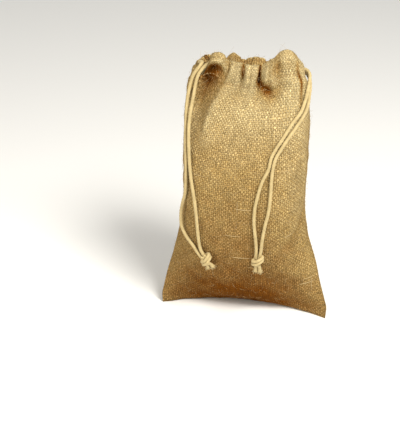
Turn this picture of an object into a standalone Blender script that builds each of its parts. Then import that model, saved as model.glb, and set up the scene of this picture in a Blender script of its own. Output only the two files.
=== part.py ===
"""Burlap drawstring sack, standing up, with its mouth gathered on two cords.

The sack is one length of cloth: folded across at the bottom, sewn up both sides, its top edges
turned inside as a front and a back casing. Every point of it is found from two lengths on the flat
cloth: how far across a panel it lies from the left side seam, and how far up from the bottom fold.
Each drawstring is one cord, made as three solids end to end: its two free ends, and the stretch
between them that lies in the casings.
X is across the sack, the front faces -Y, and Z is up. Sizes below are in millimetres.
"""
import math

import bmesh
import bpy
import numpy as np
from mathutils import Matrix, Vector

MM = 0.001

# ---- the cloth ----
PANEL_WIDTH = 152.0
CLOTH = 1.5
LAYER_GAP = 0.4
SEAM_HALF = CLOTH + LAYER_GAP / 2
HEM_EDGE = 227.0
SLIT_OPENS = 4.5

# ---- the drawstrings ----
CORD_WIDTH = 3.0
CORD_CLEARANCE = 0.45
LOW_CORD = 240.8
HIGH_CORD = 246.5
CORD_DEPTH = CLOTH + CORD_WIDTH / 2 + CORD_CLEARANCE
CORD_STEP = 6.0
BEND_STEP = 2.3
SQUARE_END = 0.5
CURVE_STEPS = 24
CASING_STEPS = 15
HEM_ROOM = 1.0
GAP = 0.4

# The free ends of the two drawstrings. Each row is a place (x, y, z) of the cord's middle, from
# inside the casing, out through the slit and down the front to just short of its knot. The free
# end starts at the second row; the first only gives the direction in which it leaves the casing.
ROUTES = {
    "left_front": (
        (-23.3, -9.3, 238.0), (-26.0, -9.2, 237.4), (-30.6, -9.0, 235.7), (-34.2, -11.0, 234.2),
        (-38.3, -12.8, 230.0), (-41.6, -13.4, 223.6), (-44.4, -15.6, 208.4), (-46.7, -20.6, 190.2),
        (-46.9, -24.6, 178.8), (-46.4, -27.2, 168.8), (-45.7, -28.3, 153.8), (-43.9, -30.4, 137.6),
        (-40.9, -32.8, 121.4), (-38.7, -33.9, 104.2), (-37.3, -33.6, 86.1), (-35.2, -32.5, 71.0),
        (-32.5, -32.7, 65.9)),
    "left_back": (
        (-42.2, 0.6, 232.4), (-42.0, -2.1, 232.8), (-40.7, -5.0, 234.2), (-38.6, -8.0, 235.0),
        (-39.6, -11.8, 233.4), (-42.4, -12.8, 229.6), (-45.6, -12.8, 223.9), (-49.4, -14.5, 207.2),
        (-50.5, -17.5, 188.6), (-49.7, -24.4, 167.2), (-48.9, -26.9, 144.2), (-49.9, -27.2, 121.3),
        (-52.0, -25.5, 113.4), (-54.4, -23.0, 101.1), (-53.8, -24.0, 88.7), (-49.1, -28.0, 81.0),
        (-41.9, -31.2, 73.2), (-38.2, -31.6, 67.4), (-34.9, -32.2, 63.2)),
    "right_front": (
        (40.4, -5.0, 235.4), (41.3, -3.4, 233.3), (41.8, -0.6, 231.6), (43.5, 2.4, 230.7),
        (46.6, 3.4, 230.4), (49.9, 0.2, 228.2), (50.8, -5.4, 224.6), (50.4, -10.8, 218.6),
        (48.8, -13.6, 209.6), (46.0, -17.8, 200.9), (40.1, -23.4, 192.8), (33.4, -28.2, 181.0),
        (27.9, -30.8, 171.6), (24.5, -32.6, 163.7), (22.7, -34.2, 154.2), (17.8, -36.1, 142.6),
        (14.4, -37.3, 128.9), (12.4, -38.0, 116.7), (12.3, -38.5, 102.8), (13.9, -38.2, 88.4),
        (14.6, -37.8, 77.5), (14.3, -38.0, 72.2)),
    "right_back": (
        (31.7, 9.9, 224.2), (34.8, 9.2, 224.6), (38.4, 7.6, 226.4), (41.8, 5.6, 227.6),
        (45.4, 6.4, 227.0), (49.6, 3.6, 223.4), (51.4, -3.6, 217.0), (51.3, -7.6, 211.6),
        (51.0, -10.4, 205.9), (48.8, -15.2, 198.4), (43.2, -22.5, 189.4), (36.6, -27.7, 179.3),
        (31.4, -30.7, 170.1), (28.0, -32.5, 163.0), (26.3, -34.0, 154.3), (25.6, -35.7, 143.2),
        (25.3, -36.9, 129.8), (24.2, -37.8, 116.1), (21.5, -38.5, 102.1), (19.4, -38.1, 87.2),
        (18.6, -37.6, 77.8), (17.7, -38.0, 72.2)),
}

# how long the close bends are at the start and end of a free end, and of the stretch between
FREE_BENDS = (25.0, 0.0)
RUN_BENDS = (12.0, 12.0)

# Each string goes once round through both casings, over the other side's slit. up: its level on
# the flat cloth. first, last: how far across the panels its stretch in the casings starts and turns.
STRING_NAMES = ("up", "first", "last")
STRINGS = {
    "left": (HIGH_CORD, 24.0, 156.5),
    "right": (LOW_CORD, 128.0, -4.5),
}

# The knots: the place of the middle, and the ends of its two tails from there.
KNOTS = {
    "left": ((-29.7, -33.9, 62.3), ((0.8, 1.0, -9.6), (6.0, 1.4, -8.0))),
    "right": ((16.4, -38.6, 67.6), ((-2.2, 1.6, -11.6), (1.8, 1.4, -12.0))),
}
KNOT_CORE = 3.2
# Its three turns: radius of the turn and of the cord in it, and how it is pitched and rolled.
KNOT_TURNS = ((3.1, 1.6, 20.0, 10.0), (3.3, 1.6, -24.0, 70.0), (2.9, 1.7, 68.0, -20.0))
TAIL_ROOT = 1.5
TAIL_TIP = 2.1
KNOT_GRAIN = 0.55
KNOT_FACES = 900

# A row for each level of the cloth. up: height on the flat cloth. left, right: how far the sack
# reaches to each side there. side: how far back its two sides lie. front, back: where the middle
# of each panel lies. flat and bow: the section is (1 - |x|^flat)^bow, a lens where bow is 1 and
# boxy where it is small. z_side, z_front, z_back: real height of that level at the sides and at
# the middle of each panel. seam_l, seam_r: how far the side seams have wandered to the front.
SECTION_NAMES = ("up", "left", "right", "side", "front", "back", "flat", "bow",
                 "z_side", "z_front", "z_back", "seam_l", "seam_r")
SECTIONS = (
    (0.0, -74.5, 75.0, -10.0, 2.3, 5.7, 2.0, 1.00, 0.0, 3.0, 3.0, 0.0, 0.0),
    (8.0, -75.2, 75.5, -9.5, -3.5, 13.7, 2.0, 0.95, 8.0, 8.4, -4.0, 0.0, 0.0),
    (18.0, -73.6, 73.0, -8.0, -11.5, 23.0, 2.0, 0.90, 17.8, 14.6, -4.0, 0.0, 0.0),
    (32.0, -70.8, 68.8, -6.0, -19.5, 31.0, 2.0, 0.80, 31.5, 25.0, 8.0, 0.0, 0.0),
    (55.0, -65.0, 63.0, -3.0, -28.5, 35.5, 2.2, 0.62, 54.0, 46.5, 31.5, 0.0, 0.0),
    (85.0, -59.0, 54.0, -1.0, -34.0, 37.0, 2.5, 0.50, 83.5, 75.5, 62.0, 0.0, 0.0),
    (115.0, -55.6, 50.8, 0.0, -35.5, 36.5, 2.8, 0.42, 113.5, 105.5, 92.5, 0.0, 0.0),
    (150.0, -54.8, 51.4, 0.0, -34.0, 33.5, 2.8, 0.40, 148.0, 140.5, 128.5, 1.0, 0.0),
    (185.0, -55.0, 52.0, 0.0, -28.5, 28.5, 2.8, 0.42, 182.0, 175.0, 164.0, 4.0, -1.5),
    (208.0, -53.6, 50.6, 0.0, -22.5, 23.5, 2.8, 0.45, 203.0, 196.5, 187.5, 8.0, -3.0),
    (228.0, -50.2, 47.6, 0.0, -15.5, 17.0, 4.2, 0.48, 220.5, 216.0, 209.5, 13.5, -4.5),
    (240.0, -46.8, 45.4, 0.5, -13.2, 14.2, 6.0, 0.50, 230.5, 227.5, 223.5, 15.5, -5.5),
    (254.0, -44.5, 43.5, 1.0, -12.6, 13.4, 6.0, 0.50, 242.5, 240.5, 238.5, 16.5, -6.0),
)

# The gathers of the casings. across and half: middle and half width of a gather on the flat
# cloth. out, inward: how far the outer and the inner layer stand off the cord there. lift: how
# far its top rises. reach and full: the levels at which it starts and is fully out.
GATHER_NAMES = ("across", "half", "out", "inward", "lift", "reach", "full")
FRONT_GATHERS = (
    (15.0, 18.0, 6.5, 1.0, 4.5, 233.0, 247.0),
    (42.0, 12.0, 3.4, 1.2, 0.5, 222.0, 244.0),
    (65.5, 11.5, 4.2, 1.4, 0.5, 218.0, 242.0),
    (85.0, 7.5, 5.0, 1.2, 2.0, 212.0, 236.0),
    (121.5, 27.0, 5.5, 1.4, 11.0, 204.0, 238.0),
)
BACK_GATHERS = (
    (14.0, 12.0, 3.0, 0.6, -4.0, 208.0, 236.0),
    (36.0, 10.0, 4.0, 1.2, 1.0, 200.0, 238.0),
    (58.0, 12.0, 3.2, 1.4, 3.5, 194.0, 236.0),
    (80.0, 10.0, 4.4, 1.2, 1.0, 204.0, 238.0),
    (101.0, 11.0, 3.4, 1.4, 2.5, 196.0, 236.0),
    (123.0, 11.0, 4.2, 1.2, 0.5, 202.0, 238.0),
    (141.0, 8.0, 2.4, 0.6, -1.0, 208.0, 236.0),
)

# Soft folds of the panels, as lines on the flat cloth from a start to an end. width: how far to
# each side the fold spreads. rise: how far it stands out of the cloth, less than 0 for a trough.
FOLD_NAMES = ("across_a", "up_a", "across_b", "up_b", "width", "rise")
FRONT_FOLDS = (
    (77.0, 236.0, 77.5, 226.0, 5.0, -4.0),
    (82.0, 227.0, 92.0, 221.0, 7.5, -4.6),
    (54.0, 236.0, 54.0, 230.0, 4.0, -2.5),
    (31.0, 240.0, 24.0, 184.0, 9.0, 2.6),
    (106.0, 226.0, 114.0, 220.0, 6.0, -1.5),
    (122.0, 196.0, 98.0, 70.0, 15.0, 2.6),
    (24.0, 168.0, 34.0, 70.0, 14.0, 2.0),
    (30.0, 18.0, 50.0, 66.0, 16.0, -1.6),
    (128.0, 14.0, 104.0, 60.0, 16.0, -1.8),
    (146.0, 100.0, 126.0, 84.0, 10.0, -2.2),
)
BACK_FOLDS = (
    (40.0, 190.0, 58.0, 96.0, 16.0, -2.4),
    (104.0, 196.0, 92.0, 120.0, 14.0, -2.0),
    (24.0, 30.0, 56.0, 84.0, 16.0, -2.2),
    (130.0, 26.0, 106.0, 92.0, 16.0, -2.4),
)

# The hollow under the left gather of the front: its right edge is a ridge in the cloth.
HOLLOW_TOP = (29.0, 250.0)
HOLLOW_FOOT = (20.0, 180.0)
HOLLOW_RUN_IN = 6.0
HOLLOW_SOFT = 5.0
HOLLOW_DEPTH = 12.0
HOLLOW_FULL_BELOW = 216.0
HOLLOW_FULL_ABOVE = 206.0
HOLLOW_GONE_BELOW = 170.0

# how far the folded top edge of a casing stands above the cords' channel, and how round it is
FOLD_CROWN = 4.8
FOLD_SHOULDER = 3.2
CHANNEL_CROWN = 2.6
LIFT_STARTS = 196.0
LIFT_FULL = 246.0
LIFT_ROUNDNESS = 1.3
GATHER_ROUNDNESS = 0.8

BODY_LEVELS = (0, 6, 13, 22, 34, 50, 68, 88, 110, 132, 154, 174, 190, 202, 212, 220, HEM_EDGE)
CASING_LEVELS = (231.5, 237.0, 243.0, 249.0)
# how far the hem has left the outer layer at each casing level, to make room for the cords
CASING_APART = (0.3, 1.0, 1.0, 1.0)
EDGE_FREED = 4.0
HEM_SPREAD = 4.0
HEM_EASE = 4
COLUMNS = 38
# shares of a gather's half width where columns follow it, and between which levels they come in
GATHER_MARKS = (-1.0, -0.7, -0.25, 0.25, 0.7, 1.0)
COLUMN_EDGE = 5.5
COLUMN_APART = 1.2
COLUMNS_EVEN_BELOW = 110.0
COLUMNS_IN_STEP_ABOVE = 200.0
LOOP_SAMPLES = 160


# ---- small tools ----
def smooth_step(value, low, high):
    """0 at low, 1 at high, with no corner at either."""
    share = np.clip((np.asarray(value, float) - low) / (high - low), 0, 1)
    return share * share * (3 - 2 * share)


def smooth_table(rows, names, at):
    """Read a table at a level: cubic between its rows, and never past their values."""
    table = np.array(rows)
    ups = table[:, 0]
    index = int(np.clip(np.searchsorted(ups, at) - 1, 0, len(ups) - 2))
    span = np.diff(ups)[:, None]
    slope = np.diff(table, axis=0) / span
    inner = np.where(slope[:-1] * slope[1:] > 0,
                     2 * slope[:-1] * slope[1:] / (slope[:-1] + slope[1:] + 1e-12), 0)
    tangent = np.vstack([slope[:1], inner, slope[-1:]])
    step = span[index, 0]
    t = (at - ups[index]) / step
    value = ((1 + 2 * t) * (1 - t) ** 2 * table[index] + t * (1 - t) ** 2 * step * tangent[index]
             + t * t * (3 - 2 * t) * table[index + 1] + t * t * (t - 1) * step * tangent[index + 1])
    return dict(zip(names, value))


# ---- the shape of the standing sack ----
def section_loop(up):
    """The sack's plain outline at a level, once round from its left side along the front."""
    size = smooth_table(SECTIONS, SECTION_NAMES, up)
    across = -np.cos(np.pi * np.linspace(0, 1, LOOP_SAMPLES))
    bow = (1 - np.abs(across) ** size["flat"]) ** size["bow"]
    x = (size["left"] + size["right"]) / 2 + across * (size["right"] - size["left"]) / 2
    near = size["side"] - SEAM_HALF
    far = size["side"] + SEAM_HALF
    front = np.column_stack([x, near + (size["front"] - near) * bow,
                             size["z_side"] + (size["z_front"] - size["z_side"]) * bow])
    back = np.column_stack([x, far + (size["back"] - far) * bow,
                            size["z_side"] + (size["z_back"] - size["z_side"]) * bow])
    loop = np.vstack([front, back[::-1], front[:1]])
    loop[:, 2] = np.maximum(loop[:, 2], 0)
    arc = np.concatenate([[0], np.cumsum(np.linalg.norm(np.diff(loop, axis=0), axis=1))])
    return loop, arc, size


def seam_half(up):
    """Half the strip between the two panels: a seam, and above it the slit of the casing."""
    return SEAM_HALF + SLIT_OPENS * float(smooth_step(up, HEM_EDGE, LOW_CORD))


def on_loop(panel, across, up, spread=1.5):
    """Points and outward directions on the plain outline, for places across a panel.

    A direction is square to the outline between spread before the place and spread past it.
    """
    loop, arc, size = section_loop(up)
    total = arc[-1]
    left = size["seam_l"] - SEAM_HALF
    right = arc[LOOP_SAMPLES - 1] + SEAM_HALF - size["seam_r"]
    half = seam_half(up)
    share = np.asarray(across, float) / PANEL_WIDTH
    if panel == "front":
        along = left + half + share * (right - left - 2 * half)
    else:
        along = left - half - share * (total - right + left - 2 * half)

    def read(place):
        place = np.mod(place, total)
        return np.column_stack([np.interp(place, arc, loop[:, k]) for k in range(3)])

    ahead = read(along + spread) - read(along - spread)
    outward = np.column_stack([ahead[:, 1], -ahead[:, 0], 0 * ahead[:, 0]])
    outward /= np.linalg.norm(outward, axis=1)[:, None]
    return read(along), outward


def gather_rows(panel):
    rows = FRONT_GATHERS if panel == "front" else BACK_GATHERS
    return [dict(zip(GATHER_NAMES, row)) for row in rows]


def gather_sum(panel, across, key, up=None, roundness=GATHER_ROUNDNESS):
    """One of the gathers' sizes at places across a panel, dying away towards its reach."""
    total = np.zeros(len(across))
    for gather in gather_rows(panel):
        inside = np.clip(1 - ((across - gather["across"]) / gather["half"]) ** 2, 0, 1) ** roundness
        fade = 1.0 if up is None else float(smooth_step(up, gather["reach"], gather["full"]))
        total += gather[key] * inside * fade
    return total


def hollow(across, up):
    """Depth of the hollow beside the ridge that runs down from the left gather."""
    top, foot = np.array(HOLLOW_TOP), np.array(HOLLOW_FOOT)
    run = (top - foot) / np.linalg.norm(top - foot)
    beside = -((across - foot[0]) * run[1] - (up - foot[1]) * run[0])
    inside = np.maximum(beside, 0)
    depth = 1 - np.exp(-inside * inside / (inside + HOLLOW_SOFT) / HOLLOW_RUN_IN)
    depth *= smooth_step(up, HOLLOW_GONE_BELOW, HOLLOW_FULL_ABOVE)
    depth *= 1 - smooth_step(up, HOLLOW_FULL_BELOW, CASING_LEVELS[1])
    return HOLLOW_DEPTH * depth * smooth_step(across, 1, 14)


def relief(panel, across, up):
    """How far the folds and gathers move the cloth out of its plain outline."""
    height = np.zeros(len(across))
    for row in FRONT_FOLDS if panel == "front" else BACK_FOLDS:
        fold = dict(zip(FOLD_NAMES, row))
        run = np.array([fold["across_b"] - fold["across_a"], fold["up_b"] - fold["up_a"]])
        length = np.linalg.norm(run)
        along = ((across - fold["across_a"]) * run[0] + (up - fold["up_a"]) * run[1]) / length
        beside = ((across - fold["across_a"]) * run[1] - (up - fold["up_a"]) * run[0]) / length
        past = np.maximum(np.maximum(-along, along - length), 0)
        height += fold["rise"] * np.exp(-(beside / fold["width"]) ** 2 - (past / fold["width"]) ** 2)
    height *= 1 - smooth_step(up, HEM_EDGE, CASING_LEVELS[1])
    if panel == "front":
        height -= hollow(across, up)
    edge = np.minimum(across, PANEL_WIDTH - across)
    edge = edge + EDGE_FREED * float(smooth_step(up, HEM_EDGE, LOW_CORD))
    return (height + gather_sum(panel, across, "out", up)) * smooth_step(edge, -2, 10)


def lift(panel, across, up):
    """How far the gathers raise the cloth."""
    share = float(smooth_step(up, LIFT_STARTS, LIFT_FULL))
    return gather_sum(panel, across, "lift", roundness=LIFT_ROUNDNESS) * share


def outer(panel, across, up):
    """Points of the cloth's outer face at one level."""
    base, outward = on_loop(panel, across, up)
    point = base + outward * relief(panel, across, up)[:, None]
    point[:, 2] += lift(panel, across, up)
    return point


# ---- the sack as a mesh ----
def columns(panel, up):
    """Where the mesh's columns cross a level: even below, in step with the gathers above."""
    even = np.linspace(0, PANEL_WIDTH, COLUMNS + 1)
    edges = [0.0]
    for gather in gather_rows(panel):
        for side in GATHER_MARKS:
            edges.append(gather["across"] + side * gather["half"])
    edges = np.unique(np.clip(edges + [PANEL_WIDTH], 0, PANEL_WIDTH).round(3))
    edges = edges[(edges > COLUMN_EDGE) & (edges < PANEL_WIDTH - COLUMN_EDGE)]
    edges = edges[np.concatenate([[True], np.diff(edges) > COLUMN_APART])]
    edges = np.concatenate([[0], edges, [PANEL_WIDTH]])
    in_step = np.interp(np.linspace(0, len(edges) - 1, COLUMNS + 1), np.arange(len(edges)), edges)
    blend = float(smooth_step(up, COLUMNS_EVEN_BELOW, COLUMNS_IN_STEP_ABOVE))
    return even + (in_step - even) * blend


def face_normals(grid, out_sign):
    """Outward directions of a grid of points with rows up and columns across."""
    across = np.gradient(grid, axis=1)
    upward = np.gradient(grid, axis=0)
    normal = np.cross(across, upward) * out_sign
    return normal / np.linalg.norm(normal, axis=2)[:, :, None]


def unit(vector):
    return vector / np.linalg.norm(vector, axis=-1, keepdims=True)


def panel_grids(panel):
    """Outer face, inner face and hem of one panel, each as rows of points."""
    out_sign = 1 if panel == "front" else -1
    levels = BODY_LEVELS + CASING_LEVELS
    face = np.array([outer(panel, columns(panel, up), up) for up in levels])
    normal = face_normals(face, out_sign)
    inner = face - CLOTH * normal
    sewn = slice(0, len(BODY_LEVELS))
    inner[sewn, 0] += CLOTH * unit(face[sewn, 1] - face[sewn, 0])
    inner[sewn, -1] += CLOTH * unit(face[sewn, -2] - face[sewn, -1])
    inner[0] += CLOTH * unit(face[1] - face[0])

    hem = []
    hem_levels = (HEM_EDGE,) + CASING_LEVELS
    for row, apart in enumerate((0.0,) + CASING_APART):
        up = hem_levels[row]
        across = columns(panel, up)
        index = len(BODY_LEVELS) - 1 + row
        close = inner[index] - LAYER_GAP * normal[index]
        base, outward = on_loop(panel, across, up, spread=HEM_SPREAD)
        depth = CLOTH + CORD_WIDTH + CORD_CLEARANCE + HEM_ROOM + gather_sum(panel, across, "inward")
        loose = base - outward * depth[:, None]
        loose[:, 2] = inner[index][:, 2]
        for _ in range(HEM_EASE):
            loose[1:-1] = (loose[:-2] + 2 * loose[1:-1] + loose[2:]) / 4
        hem.append(close + (loose - close) * apart)
    hem = np.array(hem)
    hem_face = hem - CLOTH * face_normals(hem, out_sign)
    return face, inner, hem, hem_face


class Cloth:
    """Collects points and faces, so that the sheet comes out as one closed mesh."""

    def __init__(self):
        self.points = []
        self.faces = []

    def add(self, row):
        first = len(self.points)
        self.points.extend(map(tuple, row))
        return list(range(first, first + len(row)))

    def strip(self, low, high, closed=False, turned=False):
        """Quads between two rows; both layers of the cloth split theirs the same way."""
        count = len(low)
        for k in range(count if closed else count - 1):
            n = (k + 1) % count
            quad = (low[k], low[n], high[n], high[k])
            self.faces.append((quad[0], quad[3], quad[2], quad[1]) if turned else quad)


def build_sack():
    cloth = Cloth()
    grids = {panel: panel_grids(panel) for panel in ("front", "back")}
    body = len(BODY_LEVELS)
    ids = {}
    for panel, (face, inner, hem, hem_face) in grids.items():
        ids[panel, "face"] = [cloth.add(row) for row in face]
        ids[panel, "inner"] = [cloth.add(row) for row in inner]
        ids[panel, "hem"] = [cloth.add(row) for row in hem]
        ids[panel, "hem_face"] = [cloth.add(row) for row in hem_face]

    for layer in ("face", "inner"):
        rings = [ids["front", layer][k] + ids["back", layer][k][::-1] for k in range(body)]
        for low, high in zip(rings, rings[1:]):
            cloth.strip(low, high, closed=True, turned=layer == "inner")
        cloth.strip(ids["back", layer][0], ids["front", layer][0], turned=layer == "inner")

    top = body - 1
    for end in (0, -1):
        slit = [ids["front", "face"][top][end], ids["back", "face"][top][end],
                ids["back", "inner"][top][end], ids["front", "inner"][top][end]]
        cloth.faces.append(tuple(slit[::-1] if end == 0 else slit))

    for panel in ("front", "back"):
        face, inner, hem, hem_face = grids[panel]
        middle = (face[-1] + hem_face[-1]) / 2
        rise = np.array([0, 0, 1.0])
        thick = unit(face[-1] - hem_face[-1])
        fold_out = middle + thick * CLOTH + rise * FOLD_SHOULDER
        fold_top = middle + rise * FOLD_CROWN
        fold_in = middle - thick * CLOTH + rise * FOLD_SHOULDER
        channel_top = middle + rise * CHANNEL_CROWN
        chain = (ids[panel, "face"][top:]
                 + [cloth.add(fold_out), cloth.add(fold_top), cloth.add(fold_in)]
                 + ids[panel, "hem_face"][::-1] + ids[panel, "hem"]
                 + [cloth.add(channel_top)] + ids[panel, "inner"][top:][::-1])
        for first, second in zip(chain, chain[1:]):
            falling = cloth.points[second[0]][2] < cloth.points[first[0]][2]
            low, high = (second, first) if falling else (first, second)
            cloth.strip(low, high, turned=falling != (panel == "back"))
        for end in (0, -1):
            column = [row[end] for row in chain]
            flip = (end == 0) == (panel == "front")
            close_end(cloth, column, flip)

    points = np.array(cloth.points) * MM
    mesh = bpy.data.meshes.new("sack")
    mesh.from_pydata([tuple(p) for p in points], [], cloth.faces)
    mesh.validate()
    mesh.shade_smooth()
    mesh.set_sharp_from_angle(angle=math.radians(50))
    return place_object("sack", mesh, "burlap")


def close_end(cloth, column, flip):
    """Fill the open end of a casing: its outer layer, its top fold and its hem."""
    steps = len(CASING_LEVELS)
    outer_layer = column[:steps + 1]
    fold_out, fold_top, fold_in = column[steps + 1:steps + 4]
    hem_face = column[steps + 4:2 * steps + 5][::-1]
    hem = column[2 * steps + 5:3 * steps + 6]
    channel_top = column[3 * steps + 6]
    inner_layer = column[3 * steps + 7:][::-1]
    faces = []
    for k in range(steps):
        faces.append((outer_layer[k], inner_layer[k], inner_layer[k + 1], outer_layer[k + 1]))
        faces.append((hem[k], hem_face[k], hem_face[k + 1], hem[k + 1]))
    faces.append((outer_layer[-1], inner_layer[-1], channel_top, fold_out))
    faces.append((fold_out, channel_top, fold_top))
    faces.append((fold_top, channel_top, fold_in))
    faces.append((channel_top, hem[-1], hem_face[-1], fold_in))
    cloth.faces.extend(tuple(face[::-1]) if flip else face for face in faces)


# ---- the drawstrings ----
def smooth_route(route, start, end, bends):
    """Points on a smooth curve through a route, from one of its points to another, and its length.

    They lie close together over the lengths in bends at its start and at its end.
    """
    route = np.array(route, float)
    first, last = 2 * route[0] - route[1], 2 * route[-1] - route[-2]
    knots = np.vstack([first, route, last])
    spans = np.sqrt(np.linalg.norm(np.diff(knots, axis=0), axis=1))
    curve = []
    for k in range(1, len(knots) - 2):
        before, here, after = spans[k - 1:k + 2]
        leave = ((knots[k] - knots[k - 1]) / before - (knots[k + 1] - knots[k - 1]) / (before + here)
                 + (knots[k + 1] - knots[k]) / here) * here
        reach = ((knots[k + 1] - knots[k]) / here - (knots[k + 2] - knots[k]) / (here + after)
                 + (knots[k + 2] - knots[k + 1]) / after) * here
        t = np.linspace(0, 1, CURVE_STEPS, endpoint=False)[:, None]
        curve.append((2 * t ** 3 - 3 * t ** 2 + 1) * knots[k] + (t ** 3 - 2 * t ** 2 + t) * leave
                     + (3 * t ** 2 - 2 * t ** 3) * knots[k + 1] + (t ** 3 - t ** 2) * reach)
    curve = np.vstack([np.vstack(curve[start:end]), route[end:end + 1]])
    length = np.concatenate([[0], np.cumsum(np.linalg.norm(np.diff(curve, axis=0), axis=1))])
    stop = length[-1] - bends[1]
    places = np.concatenate([[SQUARE_END, length[-1] - SQUARE_END], np.arange(0, bends[0], BEND_STEP),
                             np.linspace(bends[0], stop, round((stop - bends[0]) / CORD_STEP) + 1),
                             np.arange(length[-1], stop, -BEND_STEP)])
    places = np.unique(places)
    return np.column_stack([np.interp(places, length, curve[:, k]) for k in range(3)]), length[-1]


def tube(name, points):
    """A round cord along a row of points, with flat ends."""
    data = bpy.data.curves.new(name, "CURVE")
    data.dimensions = "3D"
    data.bevel_depth = CORD_WIDTH / 2 * MM
    data.bevel_resolution = 2
    data.use_fill_caps = True
    spline = data.splines.new("POLY")
    spline.points.add(len(points) - 1)
    for slot, point in zip(spline.points, points):
        slot.co = (*(point * MM), 1)
    return place_object(name, data, "cord")


def casing_route(side):
    """Where a string runs in the casings: along one, over the far slit, and back along the other."""
    string = dict(zip(STRING_NAMES, STRINGS[side]))
    across = np.linspace(string["first"], string["last"], CASING_STEPS)
    legs = []
    for panel in ("front", "back"):
        base, outward = on_loop(panel, across, string["up"], spread=HEM_SPREAD)
        leg = base - outward * CORD_DEPTH
        leg[:, 2] += lift(panel, across, string["up"])
        legs.append(leg)
    return np.vstack([legs[0], legs[1][::-1]])


def build_string(side):
    """One drawstring: its two free ends, and the stretch between them that the casings hold."""
    front, back = ROUTES[side + "_front"], ROUTES[side + "_back"]
    for end, route in (("front", front), ("back", back)):
        points, length = smooth_route(route, 1, len(route) - 1, FREE_BENDS)
        tube(f"string_{side}_{end}", points)
        print(f"free end {side} {end}: {length:.0f} mm")
    whole = np.vstack([front[2], front[1], front[0], casing_route(side), back[0], back[1], back[2]])
    points, length = smooth_route(whole, 1, len(whole) - 2, RUN_BENDS)
    points[0] += GAP * unit(points[1] - points[0])
    points[-1] += GAP * unit(points[-2] - points[-1])
    tube(f"string_{side}_casing", points)
    print(f"stretch of the {side} string in the casings: {length:.0f} mm")


def build_knot(side):
    """An overhand knot that ties the two ends of one string, with its two cut tails."""
    middle, tails = KNOTS[side]
    shape = bmesh.new()
    bmesh.ops.create_icosphere(shape, subdivisions=3, radius=KNOT_CORE)
    for major, minor, pitch, roll in KNOT_TURNS:
        turn = Matrix.Rotation(math.radians(roll), 4, "Z") @ Matrix.Rotation(math.radians(pitch), 4, "X")
        add_ring(shape, major, minor, turn)
    for tail in tails:
        tail = Vector(tail)
        slope = tail.to_track_quat("Z", "Y").to_matrix().to_4x4()
        bmesh.ops.create_cone(shape, cap_ends=True, segments=12, radius1=TAIL_ROOT, radius2=TAIL_TIP,
                              depth=tail.length, matrix=Matrix.Translation(tail / 2) @ slope)
    bmesh.ops.transform(shape, matrix=Matrix.Scale(MM, 4) @ Matrix.Translation(middle), verts=shape.verts)
    mesh = bpy.data.meshes.new("knot_" + side)
    shape.to_mesh(mesh)
    shape.free()
    knot = place_object("knot_" + side, mesh, "cord")
    fuse = knot.modifiers.new("fuse", "REMESH")
    fuse.mode = "VOXEL"
    fuse.voxel_size = KNOT_GRAIN * MM
    thin = knot.modifiers.new("thin", "DECIMATE")
    bpy.context.view_layer.update()
    fused = knot.evaluated_get(bpy.context.evaluated_depsgraph_get()).to_mesh()
    fused.calc_loop_triangles()
    thin.ratio = min(1, KNOT_FACES / len(fused.loop_triangles))
    mesh.shade_smooth()


def add_ring(shape, major, minor, turn, around=20, across=8):
    """One round turn of the knot, as a closed ring."""
    rows = []
    for k in range(around):
        angle = math.tau * k / around
        row = []
        for n in range(across):
            tilt = math.tau * n / across
            reach = major + minor * math.cos(tilt)
            place = Vector((reach * math.cos(angle), reach * math.sin(angle), minor * math.sin(tilt)))
            row.append(shape.verts.new(turn @ place))
        rows.append(row)
    for k in range(around):
        for n in range(across):
            ahead, beside = (k + 1) % around, (n + 1) % across
            shape.faces.new((rows[k][n], rows[ahead][n], rows[ahead][beside], rows[k][beside]))


# ---- materials and objects ----
COLOURS = {
    "burlap": ((0.52, 0.34, 0.15), 0.92),
    "cord": ((0.80, 0.70, 0.46), 0.75),
}


def material(name):
    if name in bpy.data.materials:
        return bpy.data.materials[name]
    colour, roughness = COLOURS[name]
    made = bpy.data.materials.new(name)
    made.use_nodes = True
    shader = made.node_tree.nodes["Principled BSDF"]
    shader.inputs["Base Color"].default_value = (*colour, 1)
    shader.inputs["Roughness"].default_value = roughness
    shader.inputs["Metallic"].default_value = 0
    return made


def place_object(name, data, finish):
    made = bpy.data.objects.new(name, data)
    data.materials.append(material(finish))
    bpy.context.scene.collection.objects.link(made)
    return made


def clear_scene():
    for item in list(bpy.data.objects):
        bpy.data.objects.remove(item, do_unlink=True)


def main():
    clear_scene()
    build_sack()
    for side in STRINGS:
        build_string(side)
        build_knot(side)


main()
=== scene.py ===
# %% [markdown]
# # A burlap drawstring sack
# This lesson dresses a packed model of a small standing sack: one length of coarse jute cloth,
# folded at the bottom, sewn up both sides, with two cords drawn through its hemmed mouth.
# The packed model gives every size and place. We load it first and never move its parts; each new
# piece is built over one of them, in the same space.

# %% The packed model
import math
import random

import bpy
import numpy as np
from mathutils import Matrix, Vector


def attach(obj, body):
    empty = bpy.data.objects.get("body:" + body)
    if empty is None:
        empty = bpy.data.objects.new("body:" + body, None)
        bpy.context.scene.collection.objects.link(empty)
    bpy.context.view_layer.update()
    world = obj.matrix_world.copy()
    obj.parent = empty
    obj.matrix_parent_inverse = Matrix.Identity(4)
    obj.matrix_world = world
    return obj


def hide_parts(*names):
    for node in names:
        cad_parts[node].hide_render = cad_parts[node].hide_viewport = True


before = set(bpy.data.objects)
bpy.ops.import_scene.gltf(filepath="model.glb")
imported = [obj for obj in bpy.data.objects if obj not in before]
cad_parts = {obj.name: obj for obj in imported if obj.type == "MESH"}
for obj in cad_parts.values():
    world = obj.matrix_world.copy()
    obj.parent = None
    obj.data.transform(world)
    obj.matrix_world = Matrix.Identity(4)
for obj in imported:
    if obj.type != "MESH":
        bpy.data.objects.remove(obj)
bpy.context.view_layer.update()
MM = 0.001
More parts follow.
